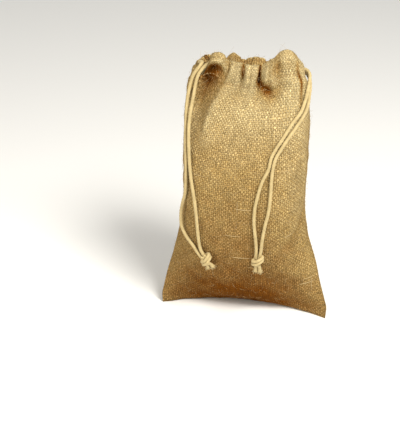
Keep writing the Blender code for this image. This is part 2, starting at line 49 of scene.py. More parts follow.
print("parts to dress:", ", ".join(sorted(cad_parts)))

# %% [markdown]
# ## Where we look from
# The camera comes before the pieces, so that each of them can be judged in the view that counts.
# It stands above and to the right of the sack and looks down on it by about 28 degrees. A tracking
# rotation points it at a place and keeps the horizon level.

# %% Camera
CAMERA_PLACE = Vector((0.13685, -0.92169, 0.57979))
CAMERA_AIM = Vector((-0.04374, 0.00902, 0.08373))
SENSOR = 36.0
LENS = 99.93
NEAREST_SEEN = 0.01

bpy.ops.object.select_all(action="DESELECT")
bpy.ops.object.camera_add(location=CAMERA_PLACE)
camera = bpy.context.active_object
camera.rotation_euler = (CAMERA_AIM - CAMERA_PLACE).to_track_quat("-Z", "Y").to_euler()
camera.data.sensor_width = SENSOR
camera.data.lens = LENS
camera.data.clip_start = NEAREST_SEEN
bpy.context.scene.camera = camera
print("camera to sack:", round((CAMERA_AIM - CAMERA_PLACE).length, 3), "m")


# %% [markdown]
# ## The drawstrings
# Each string is one limp cotton cord, 3 mm thick, that runs once round the mouth inside the hems.
# Its two ends leave the same opening, hang down the front, and are tied together. A cord is made
# of three plies twisted round each other. A plain tube would look like wire, so we sweep a
# three-lobed outline along a smooth curve and turn it a little at each step.

# %% Tools for curves
CORD_WIDTH = 3.0
CURVE_STEPS = 24
SHORTEST = 1e-9


def unit(vector):
    """The same directions, each one unit long."""
    return vector / np.maximum(np.linalg.norm(vector, axis=-1, keepdims=True), SHORTEST)


def lengths_along(points):
    """How far along a line of points each of them lies."""
    return np.concatenate([[0], np.cumsum(np.linalg.norm(np.diff(points, axis=0), axis=1))])


def read_along(places, lengths, points):
    """Points at any places along a line of points."""
    return np.column_stack([np.interp(places, lengths, points[:, k]) for k in range(3)])


def smooth_curve(route, start=0, end=None):
    """Fine points on a smooth curve through a route, from one of its points to another."""
    route = np.array(route, float)
    end = len(route) - 1 if end is None else end
    knots = np.vstack([2 * route[0] - route[1], route, 2 * route[-1] - route[-2]])
    spans = np.sqrt(np.linalg.norm(np.diff(knots, axis=0), axis=1))
    curve = []
    for k in range(1, len(knots) - 2):
        before, here, after = spans[k - 1:k + 2]
        leave = ((knots[k] - knots[k - 1]) / before - (knots[k + 1] - knots[k - 1]) / (before + here)
                 + (knots[k + 1] - knots[k]) / here) * here
        reach = ((knots[k + 1] - knots[k]) / here - (knots[k + 2] - knots[k]) / (here + after)
                 + (knots[k + 2] - knots[k + 1]) / after) * here
        t = np.linspace(0, 1, CURVE_STEPS, endpoint=False)[:, None]
        curve.append((2 * t ** 3 - 3 * t ** 2 + 1) * knots[k] + (t ** 3 - 2 * t ** 2 + t) * leave
                     + (3 * t ** 2 - 2 * t ** 3) * knots[k + 1] + (t ** 3 - t ** 2) * reach)
    return np.vstack([np.vstack(curve[start:end]), route[end:end + 1]])


def even_points(curve, step):
    """Points a step apart along a curve, and the length of the curve."""
    lengths = lengths_along(curve)
    places = np.linspace(0, lengths[-1], max(2, round(lengths[-1] / step) + 1))
    return read_along(places, lengths, curve), lengths[-1]


print("a cord is", CORD_WIDTH, "mm thick")

# %% [markdown]
# A sweep needs a direction across the curve at each point. If that direction were worked out
# afresh each time it could flip over. So it is carried along from point to point instead, and only
# what no longer lies square to the curve is taken off it.

# %% A builder of meshes
class Builder:
    """Collects the points, faces and flat coordinates of one mesh, in millimetres."""

    def __init__(self):
        """Start empty."""
        self.points = []
        self.faces = []
        self.flat = []
        self.shade = []

    def add(self, rows, shade=None):
        """Add points, each with its shade, and say which numbers they have got."""
        first = len(self.points)
        self.points.extend(map(tuple, rows))
        self.shade.extend(np.zeros(len(rows)) if shade is None else shade)
        return range(first, first + len(rows))

    def face(self, corners, flat):
        """Add a face by the numbers of its corners, with their places on the flat piece."""
        self.faces.append(tuple(corners))
        self.flat.extend(flat)

    def finish(self, name):
        """Make the mesh object, at the origin and in metres."""
        mesh = bpy.data.meshes.new(name)
        mesh.from_pydata([tuple(c * MM for c in p) for p in self.points], [], self.faces)
        layer = mesh.uv_layers.new(name="flat")
        layer.data.foreach_set("uv", (np.array(self.flat, np.float32) * MM).ravel())
        shade = mesh.attributes.new("shade", "FLOAT", "POINT")
        shade.data.foreach_set("value", np.array(self.shade, np.float32))
        made = bpy.data.objects.new(name, mesh)
        bpy.context.scene.collection.objects.link(made)
        mesh.shade_smooth()
        return made


print("a builder keeps:", ", ".join(vars(Builder())))


# %% Sweeping an outline along a curve
# a curve that starts steeper than this takes its first side from another direction
UPRIGHT = 0.9


def carried_frames(points):
    """Directions along a curve and two directions square to it, carried from point to point."""
    along = unit(np.gradient(points, axis=0))
    start = np.array([0.0, 0.0, 1.0]) if abs(along[0][2]) < UPRIGHT else np.array([1.0, 0.0, 0.0])
    side = np.empty_like(points)
    carried = start
    for k in range(len(points)):
        carried = unit(carried - along[k] * (carried @ along[k]))
        side[k] = carried
    return along, side, np.cross(along, side)


def sweep(builder, points, radius, sides, plies=0, depth=0.0, turn=0.0, capped=True):
    """Sweep a round or lobed outline along points. turn: the length of one twist of the plies."""
    along, side, other = carried_frames(points)
    radius = np.broadcast_to(radius, len(points))
    gone = lengths_along(points)
    angle = math.tau * np.arange(sides) / sides
    rings = []
    for k in range(len(points)):
        twist = math.tau * gone[k] / turn if turn else 0.0
        reach = radius[k] * np.ones(sides)
        if plies:
            reach *= 1 - depth * (1 - np.abs(np.cos(plies / 2 * (angle - twist))))
        ring = (points[k] + np.outer(np.cos(angle) * reach, side[k])
                + np.outer(np.sin(angle) * reach, other[k]))
        rings.append(builder.add(ring))
    around = CORD_WIDTH * math.pi / sides
    for k in range(len(points) - 1):
        for n in range(sides):
            m = (n + 1) % sides
            left, right = n * around, (n + 1) * around
            builder.face((rings[k][n], rings[k][m], rings[k + 1][m], rings[k + 1][n]),
                         ((left, gone[k]), (right, gone[k]), (right, gone[k + 1]), (left, gone[k + 1])))
    if capped:
        builder.face(list(rings[0])[::-1], [(0, 0)] * sides)
        builder.face(rings[-1], [(0, gone[-1])] * sides)


print("once round a cord:", round(CORD_WIDTH * math.pi, 1), "mm")


# %% [markdown]
# The routes are lists of given places, the same as in the packed model: out of the hem, over its
# edge, and down the front of the sack. The first place of each lies inside the hem and only says in
# which direction the cord comes out.

# %% Routes of the free ends, in metres
ROUTES = {
    "left_front": (
        (-0.0233, -0.0093, 0.2380), (-0.0260, -0.0092, 0.2374), (-0.0306, -0.0090, 0.2357),
        (-0.0342, -0.0110, 0.2342), (-0.0383, -0.0128, 0.2300), (-0.0416, -0.0134, 0.2236),
        (-0.0444, -0.0156, 0.2084), (-0.0467, -0.0206, 0.1902), (-0.0469, -0.0246, 0.1788),
        (-0.0464, -0.0272, 0.1688), (-0.0457, -0.0283, 0.1538), (-0.0439, -0.0304, 0.1376),
        (-0.0409, -0.0328, 0.1214), (-0.0387, -0.0339, 0.1042), (-0.0373, -0.0336, 0.0861),
        (-0.0352, -0.0325, 0.0710), (-0.0325, -0.0327, 0.0659)),
    "left_back": (
        (-0.0422, 0.0006, 0.2324), (-0.0420, -0.0021, 0.2328), (-0.0407, -0.0050, 0.2342),
        (-0.0386, -0.0080, 0.2350), (-0.0396, -0.0118, 0.2334), (-0.0424, -0.0128, 0.2296),
        (-0.0456, -0.0128, 0.2239), (-0.0494, -0.0145, 0.2072), (-0.0505, -0.0175, 0.1886),
        (-0.0497, -0.0244, 0.1672), (-0.0489, -0.0269, 0.1442), (-0.0499, -0.0272, 0.1213),
        (-0.0520, -0.0255, 0.1134), (-0.0544, -0.0230, 0.1011), (-0.0538, -0.0240, 0.0887),
        (-0.0491, -0.0280, 0.0810), (-0.0419, -0.0312, 0.0732), (-0.0382, -0.0316, 0.0674),
        (-0.0349, -0.0322, 0.0632)),
    "right_front": (
        (0.0404, -0.0050, 0.2354), (0.0413, -0.0034, 0.2333), (0.0418, -0.0006, 0.2316),
        (0.0435, 0.0024, 0.2307), (0.0466, 0.0034, 0.2304), (0.0499, 0.0002, 0.2282),
        (0.0508, -0.0054, 0.2246), (0.0504, -0.0108, 0.2186), (0.0488, -0.0136, 0.2096),
        (0.0460, -0.0178, 0.2009), (0.0401, -0.0234, 0.1928), (0.0334, -0.0282, 0.1810),
        (0.0279, -0.0308, 0.1716), (0.0245, -0.0326, 0.1637), (0.0227, -0.0342, 0.1542),
        (0.0178, -0.0361, 0.1426), (0.0144, -0.0373, 0.1289), (0.0124, -0.0380, 0.1167),
        (0.0123, -0.0385, 0.1028), (0.0139, -0.0382, 0.0884), (0.0146, -0.0378, 0.0775),
        (0.0143, -0.0380, 0.0722)),
    "right_back": (
        (0.0317, 0.0099, 0.2242), (0.0348, 0.0092, 0.2246), (0.0384, 0.0076, 0.2264),
        (0.0418, 0.0056, 0.2276), (0.0454, 0.0064, 0.2270), (0.0496, 0.0036, 0.2234),
        (0.0514, -0.0036, 0.2170), (0.0513, -0.0076, 0.2116), (0.0510, -0.0104, 0.2059),
        (0.0488, -0.0152, 0.1984), (0.0432, -0.0225, 0.1894), (0.0366, -0.0277, 0.1793),
        (0.0314, -0.0307, 0.1701), (0.0280, -0.0325, 0.1630), (0.0263, -0.0340, 0.1543),
        (0.0256, -0.0357, 0.1432), (0.0253, -0.0369, 0.1298), (0.0242, -0.0378, 0.1161),
        (0.0215, -0.0385, 0.1021), (0.0194, -0.0381, 0.0872), (0.0186, -0.0376, 0.0778),
        (0.0177, -0.0380, 0.0722)),
}
print("places on the routes:", sum(len(route) for route in ROUTES.values()))

# %% The four free ends
PLIES = 3
TWIST_LENGTH = 9.5
PLY_DEPTH = 0.16
CORD_SIDES = 18
CORD_STEP = 0.6


def cord_piece(name, points):
    """A finished cord of three plies along points."""
    builder = Builder()
    sweep(builder, points, CORD_WIDTH / 2, CORD_SIDES, plies=PLIES, depth=PLY_DEPTH, turn=TWIST_LENGTH)
    return builder.finish(name)


cords = {}
cord_paths = {}
for name, route in ROUTES.items():
    points, length = even_points(smooth_curve(np.array(route) / MM, start=1), CORD_STEP)
    cords[name] = cord_piece("cord_" + name, points)
    cord_paths[name] = (points * MM, length * MM)
    print("free end", name, round(length), "mm")


# %% [markdown]
# ## The knots
# The two ends of a string are laid side by side and tied in one overhand knot. Both cords go in
# where the free ends stop, turn once round themselves, and come out below as two short tails. We
# write the path of the pair once, in the knot's own directions: right, out of the cloth, and down.
# Each cord takes its own side of that path. In the turn they lie one above the other, as two bands.

# %% The way through a knot, in millimetres
# right, out, down: the path of the pair. beside, above: where the second cord of the pair lies.
KNOT_NAMES = ("right", "out", "down", "beside", "above")
KNOT_PATH = (
    (-0.3, -1.0, -0.6, 1.2, 0.2),
    (-1.6, -1.6, 0.9, 0.6, 1.0),
    (-3.9, -0.6, 2.2, 0.0, 1.4),
    (-4.0, 1.8, 2.1, 0.0, 1.5),
    (-1.1, 3.5, 0.9, 0.0, 1.55),
    (2.2, 3.0, -1.0, 0.0, 1.55),
    (4.2, 0.3, -2.0, 0.0, 1.45),
    (2.4, -2.8, -1.2, 0.0, 1.4),
    (-1.6, -3.0, 0.3, 0.0, 1.4),
    (-3.3, -0.6, 2.7, 0.3, 1.0),
    (-1.6, 1.4, 3.7, 0.9, 0.4),
    (0.0, 1.1, 5.4, 1.4, 0.0),
)
# The middle of each knot, and the ends of its two tails from there, in metres.
KNOTS = {
    "left": ((-0.0300, -0.0339, 0.0628), ((0.0014, 0.0012, -0.0092), (0.0058, 0.0014, -0.0080))),
    "right": ((0.0162, -0.0386, 0.0692), ((-0.0020, 0.0016, -0.0116), (0.0019, 0.0014, -0.0118))),
}


def named(names, rows):
    """The rows of a table, each with the names of its columns."""
    return [dict(zip(names, row)) for row in rows]


def knot_route(middle, directions, end, part, tail):
    """The route of one cord of the pair: on from its free end, through the knot, out at its tail."""
    right, out, down = directions
    route = list(end)
    for spot in named(KNOT_NAMES, KNOT_PATH):
        route.append(middle + right * (spot["right"] + part * spot["beside"]) + out * spot["out"]
                     + down * (spot["down"] + part * spot["above"]))
    return route + [middle + tail]


print("places on the way through a knot:", len(KNOT_PATH))

# %% [markdown]
# The cut end of a soft cord springs open. So a tail swells over its last millimetres and ends in a
# brush of short fibres. They lean by chance, but the chance has a seed, and so every run of the
# script ties the same knots.

# %% Frays
FRAY_FIBRES = 46
FRAY_LENGTH = (1.2, 2.8)
FRAY_SPREAD = 0.34
FRAY_BEND = 0.12
FRAY_ROOT = 0.3
FRAY_WIDTHS = 0.16 * np.array([1.0, 0.8, 0.4])
FRAY_SIDES = 3


def fray(builder, points, radius, chance):
    """Short fibres that stand out of the end of a tail."""
    ahead = unit(points[-1] - points[-3])
    for _ in range(FRAY_FIBRES):
        lean = np.array([chance.gauss(0, 1) for _ in range(3)])
        lean -= ahead * (lean @ ahead)
        start = points[-1] + unit(lean) * radius * math.sqrt(chance.random()) - ahead * FRAY_ROOT
        tip = start + chance.uniform(*FRAY_LENGTH) * unit(ahead + lean * FRAY_SPREAD)
        bend = (start + tip) / 2 + FRAY_BEND * lean
        sweep(builder, np.array([start, bend, tip]), FRAY_WIDTHS, FRAY_SIDES)


print("fibres at each tail's end:", FRAY_FIBRES)

# %% Tying the two knots
KNOT_CORD = 2.9
KNOT_SIDES = 14
KNOT_TWIST = 0.8 * TWIST_LENGTH
TAIL_FLARE = 1.4
FLARE_LENGTH = 4.0
OUT_OF_CLOTH = np.array([0.0, -1.0, 0.35])

knots = {}
for side, (middle, tails) in KNOTS.items():
    chance = random.Random("frays of the " + side + " knot")
    middle = np.array(middle) / MM
    tails = np.array(tails) / MM
    down = unit(tails.mean(axis=0))
    out = unit(OUT_OF_CLOTH - down * (OUT_OF_CLOTH @ down))
    right = np.cross(out, down)
    ends = [np.array(ROUTES[side + "_" + end][-2:]) / MM for end in ("front", "back")]
    ends.sort(key=lambda end: end[-1] @ right)
    builder = Builder()
    for part, end, tail in zip((-1, 1), ends, tails):
        route = knot_route(middle, (right, out, down), end, part, tail)
        points, length = even_points(smooth_curve(route, start=1), CORD_STEP)
        from_end = length - np.linspace(0, length, len(points))
        radius = KNOT_CORD / 2 * (1 + (TAIL_FLARE - 1) * np.clip(1 - from_end / FLARE_LENGTH, 0, 1))
        sweep(builder, points, radius, KNOT_SIDES, plies=PLIES, depth=PLY_DEPTH, turn=KNOT_TWIST)
        fray(builder, points, radius[-1], chance)
    knots[side] = builder.finish("tied_" + side)
    print("knot", side, len(builder.faces), "faces")


# %% [markdown]
# ## The sack
# The cloth is one rectangle. Every point of the sack belongs to a place on that flat rectangle: how
# far across a panel it lies from the left seam, and how far up from the fold at the bottom. We
# first find a plain rounded outline at each level, then push the cloth out of it for each gather
# and fold. Working from the flat cloth keeps the sheet from stretching, and it gives the weave its
# true scale everywhere.

# %% Sizes of the cloth, in millimetres
PANELS = ("front", "back")
PANEL_WIDTH = 152.0
CLOTH = 1.5
LAYER_GAP = 0.4
SEAM_HALF = CLOTH + LAYER_GAP / 2
HEM_EDGE = 227.0
CASING_TOP = 249.0
# how far the sheet's edges draw back from each other above the seams: at the left, at the right
SLIT_OPENS = {"front": (0.6, 4.5), "back": (4.5, 4.5)}
CORD_CLEARANCE = 0.45
LOW_CORD = 240.8
HIGH_CORD = 246.5
CORD_DEPTH = CLOTH + CORD_WIDTH / 2 + CORD_CLEARANCE
HEM_ROOM = 1.0
HEM_SPREAD = 4.0

# up: height on the flat cloth. left, right: how far the sack reaches there. side: how far back its
# sides lie. front, back: the middles of the panels. flat, bow: how boxy the outline is. z_side,
# z_front, z_back: the real height of that level. seam_l, seam_r: how far the seams have wandered.
SECTION_NAMES = ("up", "left", "right", "side", "front", "back", "flat", "bow",
                 "z_side", "z_front", "z_back", "seam_l", "seam_r")
SECTIONS = (
    (0.0, -74.5, 75.0, -10.0, 2.3, 5.7, 2.0, 1.00, 0.0, 3.0, 3.0, 0.0, 0.0),
    (8.0, -75.2, 75.5, -9.5, -3.5, 13.7, 2.0, 0.95, 8.0, 8.4, -4.0, 0.0, 0.0),
    (18.0, -73.6, 73.0, -8.0, -11.5, 23.0, 2.0, 0.90, 17.8, 14.6, -4.0, 0.0, 0.0),
    (32.0, -70.8, 68.8, -6.0, -19.5, 31.0, 2.0, 0.80, 31.5, 25.0, 8.0, 0.0, 0.0),
    (55.0, -65.0, 63.0, -3.0, -28.5, 35.5, 2.2, 0.62, 54.0, 46.5, 31.5, 0.0, 0.0),
    (85.0, -59.0, 54.0, -1.0, -34.0, 37.0, 2.5, 0.50, 83.5, 75.5, 62.0, 0.0, 0.0),
    (115.0, -55.6, 50.8, 0.0, -35.5, 36.5, 2.8, 0.42, 113.5, 105.5, 92.5, 0.0, 0.0),
    (150.0, -54.8, 51.4, 0.0, -34.0, 33.5, 2.8, 0.40, 148.0, 140.5, 128.5, 1.0, 0.0),
    (185.0, -55.0, 52.0, 0.0, -28.5, 28.5, 2.8, 0.42, 182.0, 175.0, 164.0, 4.0, -1.5),
    (208.0, -53.6, 50.6, 0.0, -22.5, 23.5, 2.8, 0.45, 203.0, 196.5, 187.5, 8.0, -3.0),
    (228.0, -50.2, 47.6, 0.0, -15.5, 17.0, 4.2, 0.48, 220.5, 216.0, 209.5, 13.5, -4.5),
    (240.0, -45.8, 45.4, 0.5, -13.2, 14.2, 6.0, 0.50, 229.4, 227.5, 223.5, 15.5, -5.5),
    (254.0, -41.8, 42.6, 1.0, -12.6, 13.4, 6.0, 0.50, 238.6, 240.5, 238.5, 16.5, -6.0),
)
print("levels in the table:", len(SECTIONS))

# %% [markdown]
# A table of thirteen levels is enough, because a cubic curve is read between its rows. Where two
# neighbouring slopes have the same sign their harmonic mean is used, which never swings past the
# values in the table. That is what keeps the sides of the sack calm.

# %% Reading between the rows of a table
NEVER_ZERO = 1e-12


def smooth_step(value, low, high):
    """0 at low, 1 at high, with no corner at either."""
    share = np.clip((np.asarray(value, float) - low) / (high - low), 0, 1)
    return share * share * (3 - 2 * share)


def smooth_table(rows, names, at):
    """Read a table at a level: cubic between its rows, and never past their values."""
    table = np.array(rows)
    ups = table[:, 0]
    index = int(np.clip(np.searchsorted(ups, at) - 1, 0, len(ups) - 2))
    span = np.diff(ups)[:, None]
    slope = np.diff(table, axis=0) / span
    inner = np.where(slope[:-1] * slope[1:] > 0,
                     2 * slope[:-1] * slope[1:] / (slope[:-1] + slope[1:] + NEVER_ZERO), 0)
    tangent = np.vstack([slope[:1], inner, slope[-1:]])
    step = span[index, 0]
    t = (at - ups[index]) / step
    value = ((1 + 2 * t) * (1 - t) ** 2 * table[index] + t * (1 - t) ** 2 * step * tangent[index]
             + t * t * (3 - 2 * t) * table[index + 1] + t * t * (t - 1) * step * tangent[index + 1])
    return dict(zip(names, value))


low = smooth_table(SECTIONS, SECTION_NAMES, CASING_TOP / 2)
print("half way up the sack is", round(float(low["right"] - low["left"])), "mm wide")


# %% The plain outline at a level
LOOP_SAMPLES = 400
OUTLINE_SPREAD = 1.5


def outline(up):
    """The sack's plain outline at a level, once round from its left side along the front."""
    size = smooth_table(SECTIONS, SECTION_NAMES, up)
    across = -np.cos(np.pi * np.linspace(0, 1, LOOP_SAMPLES))
    bow = (1 - np.abs(across) ** size["flat"]) ** size["bow"]
    x = (size["left"] + size["right"]) / 2 + across * (size["right"] - size["left"]) / 2
    near, far = size["side"] - SEAM_HALF, size["side"] + SEAM_HALF
    front = np.column_stack([x, near + (size["front"] - near) * bow,
                             size["z_side"] + (size["z_front"] - size["z_side"]) * bow])
    back = np.column_stack([x, far + (size["back"] - far) * bow,
                            size["z_side"] + (size["z_back"] - size["z_side"]) * bow])
    loop = np.vstack([front, back[::-1], front[:1]])
    loop[:, 2] = np.maximum(loop[:, 2], 0)
    return loop, lengths_along(loop), size


def on_outline(panel, across, up, spread=OUTLINE_SPREAD):
    """Points and outward directions on the plain outline, for places across a panel."""
    loop, arc, size = outline(up)
    total = arc[-1]
    left = size["seam_l"] - SEAM_HALF
    right = arc[LOOP_SAMPLES - 1] + SEAM_HALF - size["seam_r"]
    opened = float(smooth_step(up, HEM_EDGE, LOW_CORD))
    from_left, from_right = (SEAM_HALF + room * opened for room in SLIT_OPENS[panel])
    share = np.asarray(across, float) / PANEL_WIDTH
    if panel == "front":
        along = left + from_left + share * (right - left - from_left - from_right)
    else:
        along = left - from_left - share * (total - right + left - from_left - from_right)

    def read(place):
        """Points at places along the loop, which has no end."""
        return read_along(np.mod(place, total), arc, loop)

    ahead = read(along + spread) - read(along - spread)
    outward = unit(np.column_stack([ahead[:, 1], -ahead[:, 0], 0 * ahead[:, 0]]))
    return read(along), outward


print("once round the sack half way up:", round(float(outline(CASING_TOP / 2)[1][-1])), "mm")

# %% [markdown]
# ### Gathers
# Pulling the cords tight bunches the hems into a few round gathers. Each is a row in a table:
# where it is, how wide, how far it stands out, and how far its top rises. The wide one at the
# right and the puffed one at the left make the two ears of the mouth. On top of them go narrow
# ruffles, which are too fine for the packed model.

# %% Tables of gathers
# across, half: middle and half width. out, inward: how far the outer and inner layers stand off
# the cord. lift: how far the top rises. reach, full: the levels where it starts and has swelled.
GATHER_NAMES = ("across", "half", "out", "inward", "lift", "reach", "full")
GATHERS = {
    "front": (
        (14.5, 16.5, 7.4, 1.0, 6.2, 240.5, 247.5),
        (42.0, 12.0, 3.6, 1.2, 0.5, 224.0, 245.0),
        (65.5, 11.5, 5.4, 1.4, 0.5, 220.0, 243.0),
        (91.5, 13.5, 4.4, 1.2, 1.0, 204.0, 236.0),
        (121.5, 27.0, 5.5, 1.4, 8.0, 204.0, 238.0),
        # no swell: these only raise or lower the edge
        (112.0, 30.0, 0.0, 0.0, 3.5, 204.0, 238.0),
        (66.0, 42.0, 0.0, 0.0, -5.0, 204.0, 238.0),
        (30.0, 7.0, 0.0, 0.0, -2.6, 204.0, 238.0),
    ),
    "back": (
        (14.0, 12.0, 3.0, 0.6, -2.0, 208.0, 236.0),
        (38.0, 13.0, 4.0, 1.2, 0.0, 200.0, 238.0),
        (69.0, 9.5, 4.2, 1.2, 6.5, 216.0, 240.0),
        (84.0, 8.0, 3.2, 1.2, -1.5, 204.0, 238.0),
        (98.0, 13.0, 3.4, 1.4, 1.8, 196.0, 236.0),
        (123.0, 11.0, 4.2, 1.2, 0.5, 202.0, 238.0),
        (141.0, 8.0, 2.4, 0.6, -1.0, 208.0, 236.0),
        # no swell: these only lower the edge
        (80.0, 84.0, 0.0, 0.0, -5.0, 204.0, 238.0),
        (56.0, 6.0, 0.0, 0.0, -2.5, 204.0, 238.0),
        (113.0, 5.0, 0.0, 0.0, -2.5, 204.0, 238.0),
        (2.0, 26.0, 0.0, 0.0, -6.5, 204.0, 238.0),
    ),
}
# between which levels the gathers lift the cloth, and how round they are
LIFT_STARTS = 196.0
LIFT_FULL = 246.0
LIFT_ROUNDNESS = 1.3
GATHER_ROUNDNESS = 0.8
for panel in PANELS:
    print(panel, "rows for the gathers:", len(GATHERS[panel]))

# %% Table of ruffles
# narrow ruffles between and on the gathers, which also lift the edge and show on the inside
RUFFLE_NAMES = ("across", "half", "out", "reach", "full")
RUFFLE_LIFT = 0.6
RUFFLE_INSIDE = 0.8
RUFFLES = {
    "front": (
        (34.5, 4.0, 1.6, 230.0, 246.0), (47.5, 4.0, 1.4, 226.0, 244.0), (59.5, 3.6, 1.5, 224.0, 244.0),
        (70.5, 3.4, 1.6, 222.0, 242.0), (89.0, 3.6, 1.2, 226.0, 246.0), (96.0, 3.4, 1.4, 230.0, 247.0),
        (8.0, 4.5, 0.9, 236.0, 248.0), (20.0, 5.0, 1.1, 238.0, 248.0), (112.0, 5.0, 0.9, 234.0, 248.0),
    ),
    "back": (
        (14.0, 4.0, 1.4, 228.0, 246.0), (22.5, 3.6, 1.6, 228.0, 246.0), (30.0, 3.2, 1.5, 232.0, 247.0),
        (38.0, 3.6, 1.6, 228.0, 246.0), (45.5, 3.2, 1.4, 232.0, 248.0), (76.0, 2.7, 2.0, 230.0, 246.0),
        (82.0, 3.0, 1.6, 228.0, 246.0), (89.4, 3.6, 2.9, 230.0, 246.0), (97.8, 3.5, 2.7, 230.0, 246.0),
        (106.6, 4.0, 3.4, 230.0, 246.0), (112.6, 2.6, 1.2, 228.0, 246.0), (118.5, 3.2, 1.5, 228.0, 246.0),
        (125.0, 3.6, 1.5, 228.0, 246.0), (133.5, 3.4, 1.4, 230.0, 246.0),
    ),
}


def bumps(rows, names, across, key, up=None, roundness=GATHER_ROUNDNESS):
    """The sum of one column of a table of gathers, each a round bump that swells with height."""
    total = np.zeros(len(across))
    for bump in named(names, rows):
        inside = np.clip(1 - ((across - bump["across"]) / bump["half"]) ** 2, 0, 1) ** roundness
        fade = 1.0 if up is None else float(smooth_step(up, bump["reach"], bump["full"]))
        total += bump[key] * inside * fade
    return total


for panel in PANELS:
    print(panel, "ruffles:", len(RUFFLES[panel]))

# %% [markdown]
# ### Folds
# A soft fold is a line on the flat cloth with a bell-shaped profile across it. The same tool makes
# ridges and troughs. The narrow dark pleat right of the middle and the smaller ones left of it are
# such troughs, deep and only a few millimetres wide. A power above 2 in the bell would give them
# steep walls, and a power below 2 gives a sharp valley, as a pinched pleat has.

# %% Tables of folds
# from (across, up) to (across, up), how wide, how far out (less than 0 is a trough), and how sharp
FOLD_NAMES = ("across_a", "up_a", "across_b", "up_b", "width", "rise", "power")
FOLDS = {
    "front": (
        # the broad folds that the packed model has too
        (86.0, 234.0, 98.0, 223.0, 8.5, -3.0, 2.0),
        (36.0, 242.0, 41.0, 186.0, 9.0, 2.6, 2.0),
        (104.0, 229.0, 116.0, 222.0, 8.0, -1.3, 2.0),
        (122.0, 196.0, 98.0, 70.0, 15.0, 2.6, 2.0),
        (24.0, 168.0, 34.0, 70.0, 14.0, 2.0, 2.0),
        (30.0, 18.0, 50.0, 66.0, 16.0, -1.6, 2.0),
        (128.0, 14.0, 104.0, 60.0, 16.0, -1.8, 2.0),
        (146.0, 100.0, 126.0, 84.0, 10.0, -2.2, 2.0),
        # the pinched pleats in the hem, the cup below the deepest one, and dents in the right ear
        (76.8, 259.0, 78.0, 250.0, 1.7, -6.0, 1.6),
        (78.0, 250.0, 77.3, 240.0, 2.0, -6.0, 1.6),
        (78.5, 240.0, 90.0, 231.0, 4.9, -3.0, 2.0),
        (50.4, 258.0, 54.6, 244.0, 2.9, -4.0, 1.8),
        (31.5, 252.0, 31.0, 243.0, 1.8, -1.6, 1.8),
        (64.5, 252.0, 65.5, 245.0, 1.6, -1.4, 1.8),
        (95.5, 254.0, 108.0, 239.0, 4.9, -1.6, 2.0),
        (120.0, 246.0, 127.0, 234.0, 5.0, -1.2, 2.0),
        # the crisp edge of the ridge beside the left hollow
        (30.5, 244.0, 33.0, 218.0, 3.0, 1.1, 1.8),
        (33.0, 218.0, 36.0, 192.0, 3.6, 0.9, 1.8),
        # slight dents and swells of the worn cloth
        (12.0, 118.0, 40.0, 104.0, 8.0, -0.7, 2.0),
        (60.0, 212.0, 96.0, 206.0, 6.0, 0.6, 2.0),
        (100.0, 214.0, 138.0, 196.0, 6.0, -0.7, 2.0),
        (118.0, 60.0, 150.0, 48.0, 7.0, 0.7, 2.0),
        (4.0, 40.0, 34.0, 26.0, 7.0, 0.7, 2.0),
        (56.0, 34.0, 96.0, 30.0, 9.0, -0.9, 2.0),
        (134.0, 176.0, 146.0, 120.0, 7.0, 0.8, 2.0),
    ),
    "back": (
        # calm folds of the full sack, and a few slighter ones
        (40.0, 190.0, 58.0, 96.0, 16.0, -2.4, 2.0),
        (104.0, 196.0, 92.0, 120.0, 14.0, -2.0, 2.0),
        (24.0, 30.0, 56.0, 84.0, 16.0, -2.2, 2.0),
        (130.0, 26.0, 106.0, 92.0, 16.0, -2.4, 2.0),
        (20.0, 150.0, 60.0, 132.0, 9.0, 0.9, 2.0),
        (70.0, 214.0, 78.0, 168.0, 8.0, -1.2, 2.0),
        (96.0, 60.0, 140.0, 40.0, 9.0, 1.0, 2.0),
        (36.0, 214.0, 34.0, 176.0, 7.0, 0.9, 2.0),
        (118.0, 214.0, 122.0, 170.0, 7.0, 1.0, 2.0),
    ),
}
for panel in PANELS:
    print(panel, "folds:", len(FOLDS[panel]))


# %% Heights of folds
def fold_height(fold, across, up):
    """Height of one fold over the flat cloth."""
    run = np.array([fold["across_b"] - fold["across_a"], fold["up_b"] - fold["up_a"]])
    length = np.linalg.norm(run)
    along = ((across - fold["across_a"]) * run[0] + (up - fold["up_a"]) * run[1]) / length
    beside = ((across - fold["across_a"]) * run[1] - (up - fold["up_a"]) * run[0]) / length
    past = np.maximum(np.maximum(-along, along - length), 0)
    away = np.hypot(beside, past) / fold["width"]
    return fold["rise"] * np.exp(-away ** fold["power"])


first = named(FOLD_NAMES, FOLDS["front"])[0]
print("the first fold is", float(fold_height(first, first["across_a"], first["up_a"])), "mm high")

# %% [markdown]
# One form is no plain line: below the left ear the cloth sinks into a hollow, which ends at a
# straight edge on its right. From that edge it drops fast and then stays deep as far as the seam,
# so its depth is a function of the distance from the edge.

# %% The hollow below the left ear
# its edge is the line from HOLLOW_TOP to HOLLOW_FOOT, as (across, up)
HOLLOW_TOP = (28.5, 250.0)
HOLLOW_FOOT = (35.5, 180.0)
HOLLOW_RUN_IN = 4.0
HOLLOW_SOFT = 3.5
HOLLOW_DEPTH = 10.0
# the levels between which it deepens, and those between which it ends below the ear
HOLLOW_DEEPENS = (172.0, 214.0)
HOLLOW_ENDS = (224.0, 238.5)
# how far from the left seam it starts and is whole
HOLLOW_LEFT = (1.0, 14.0)


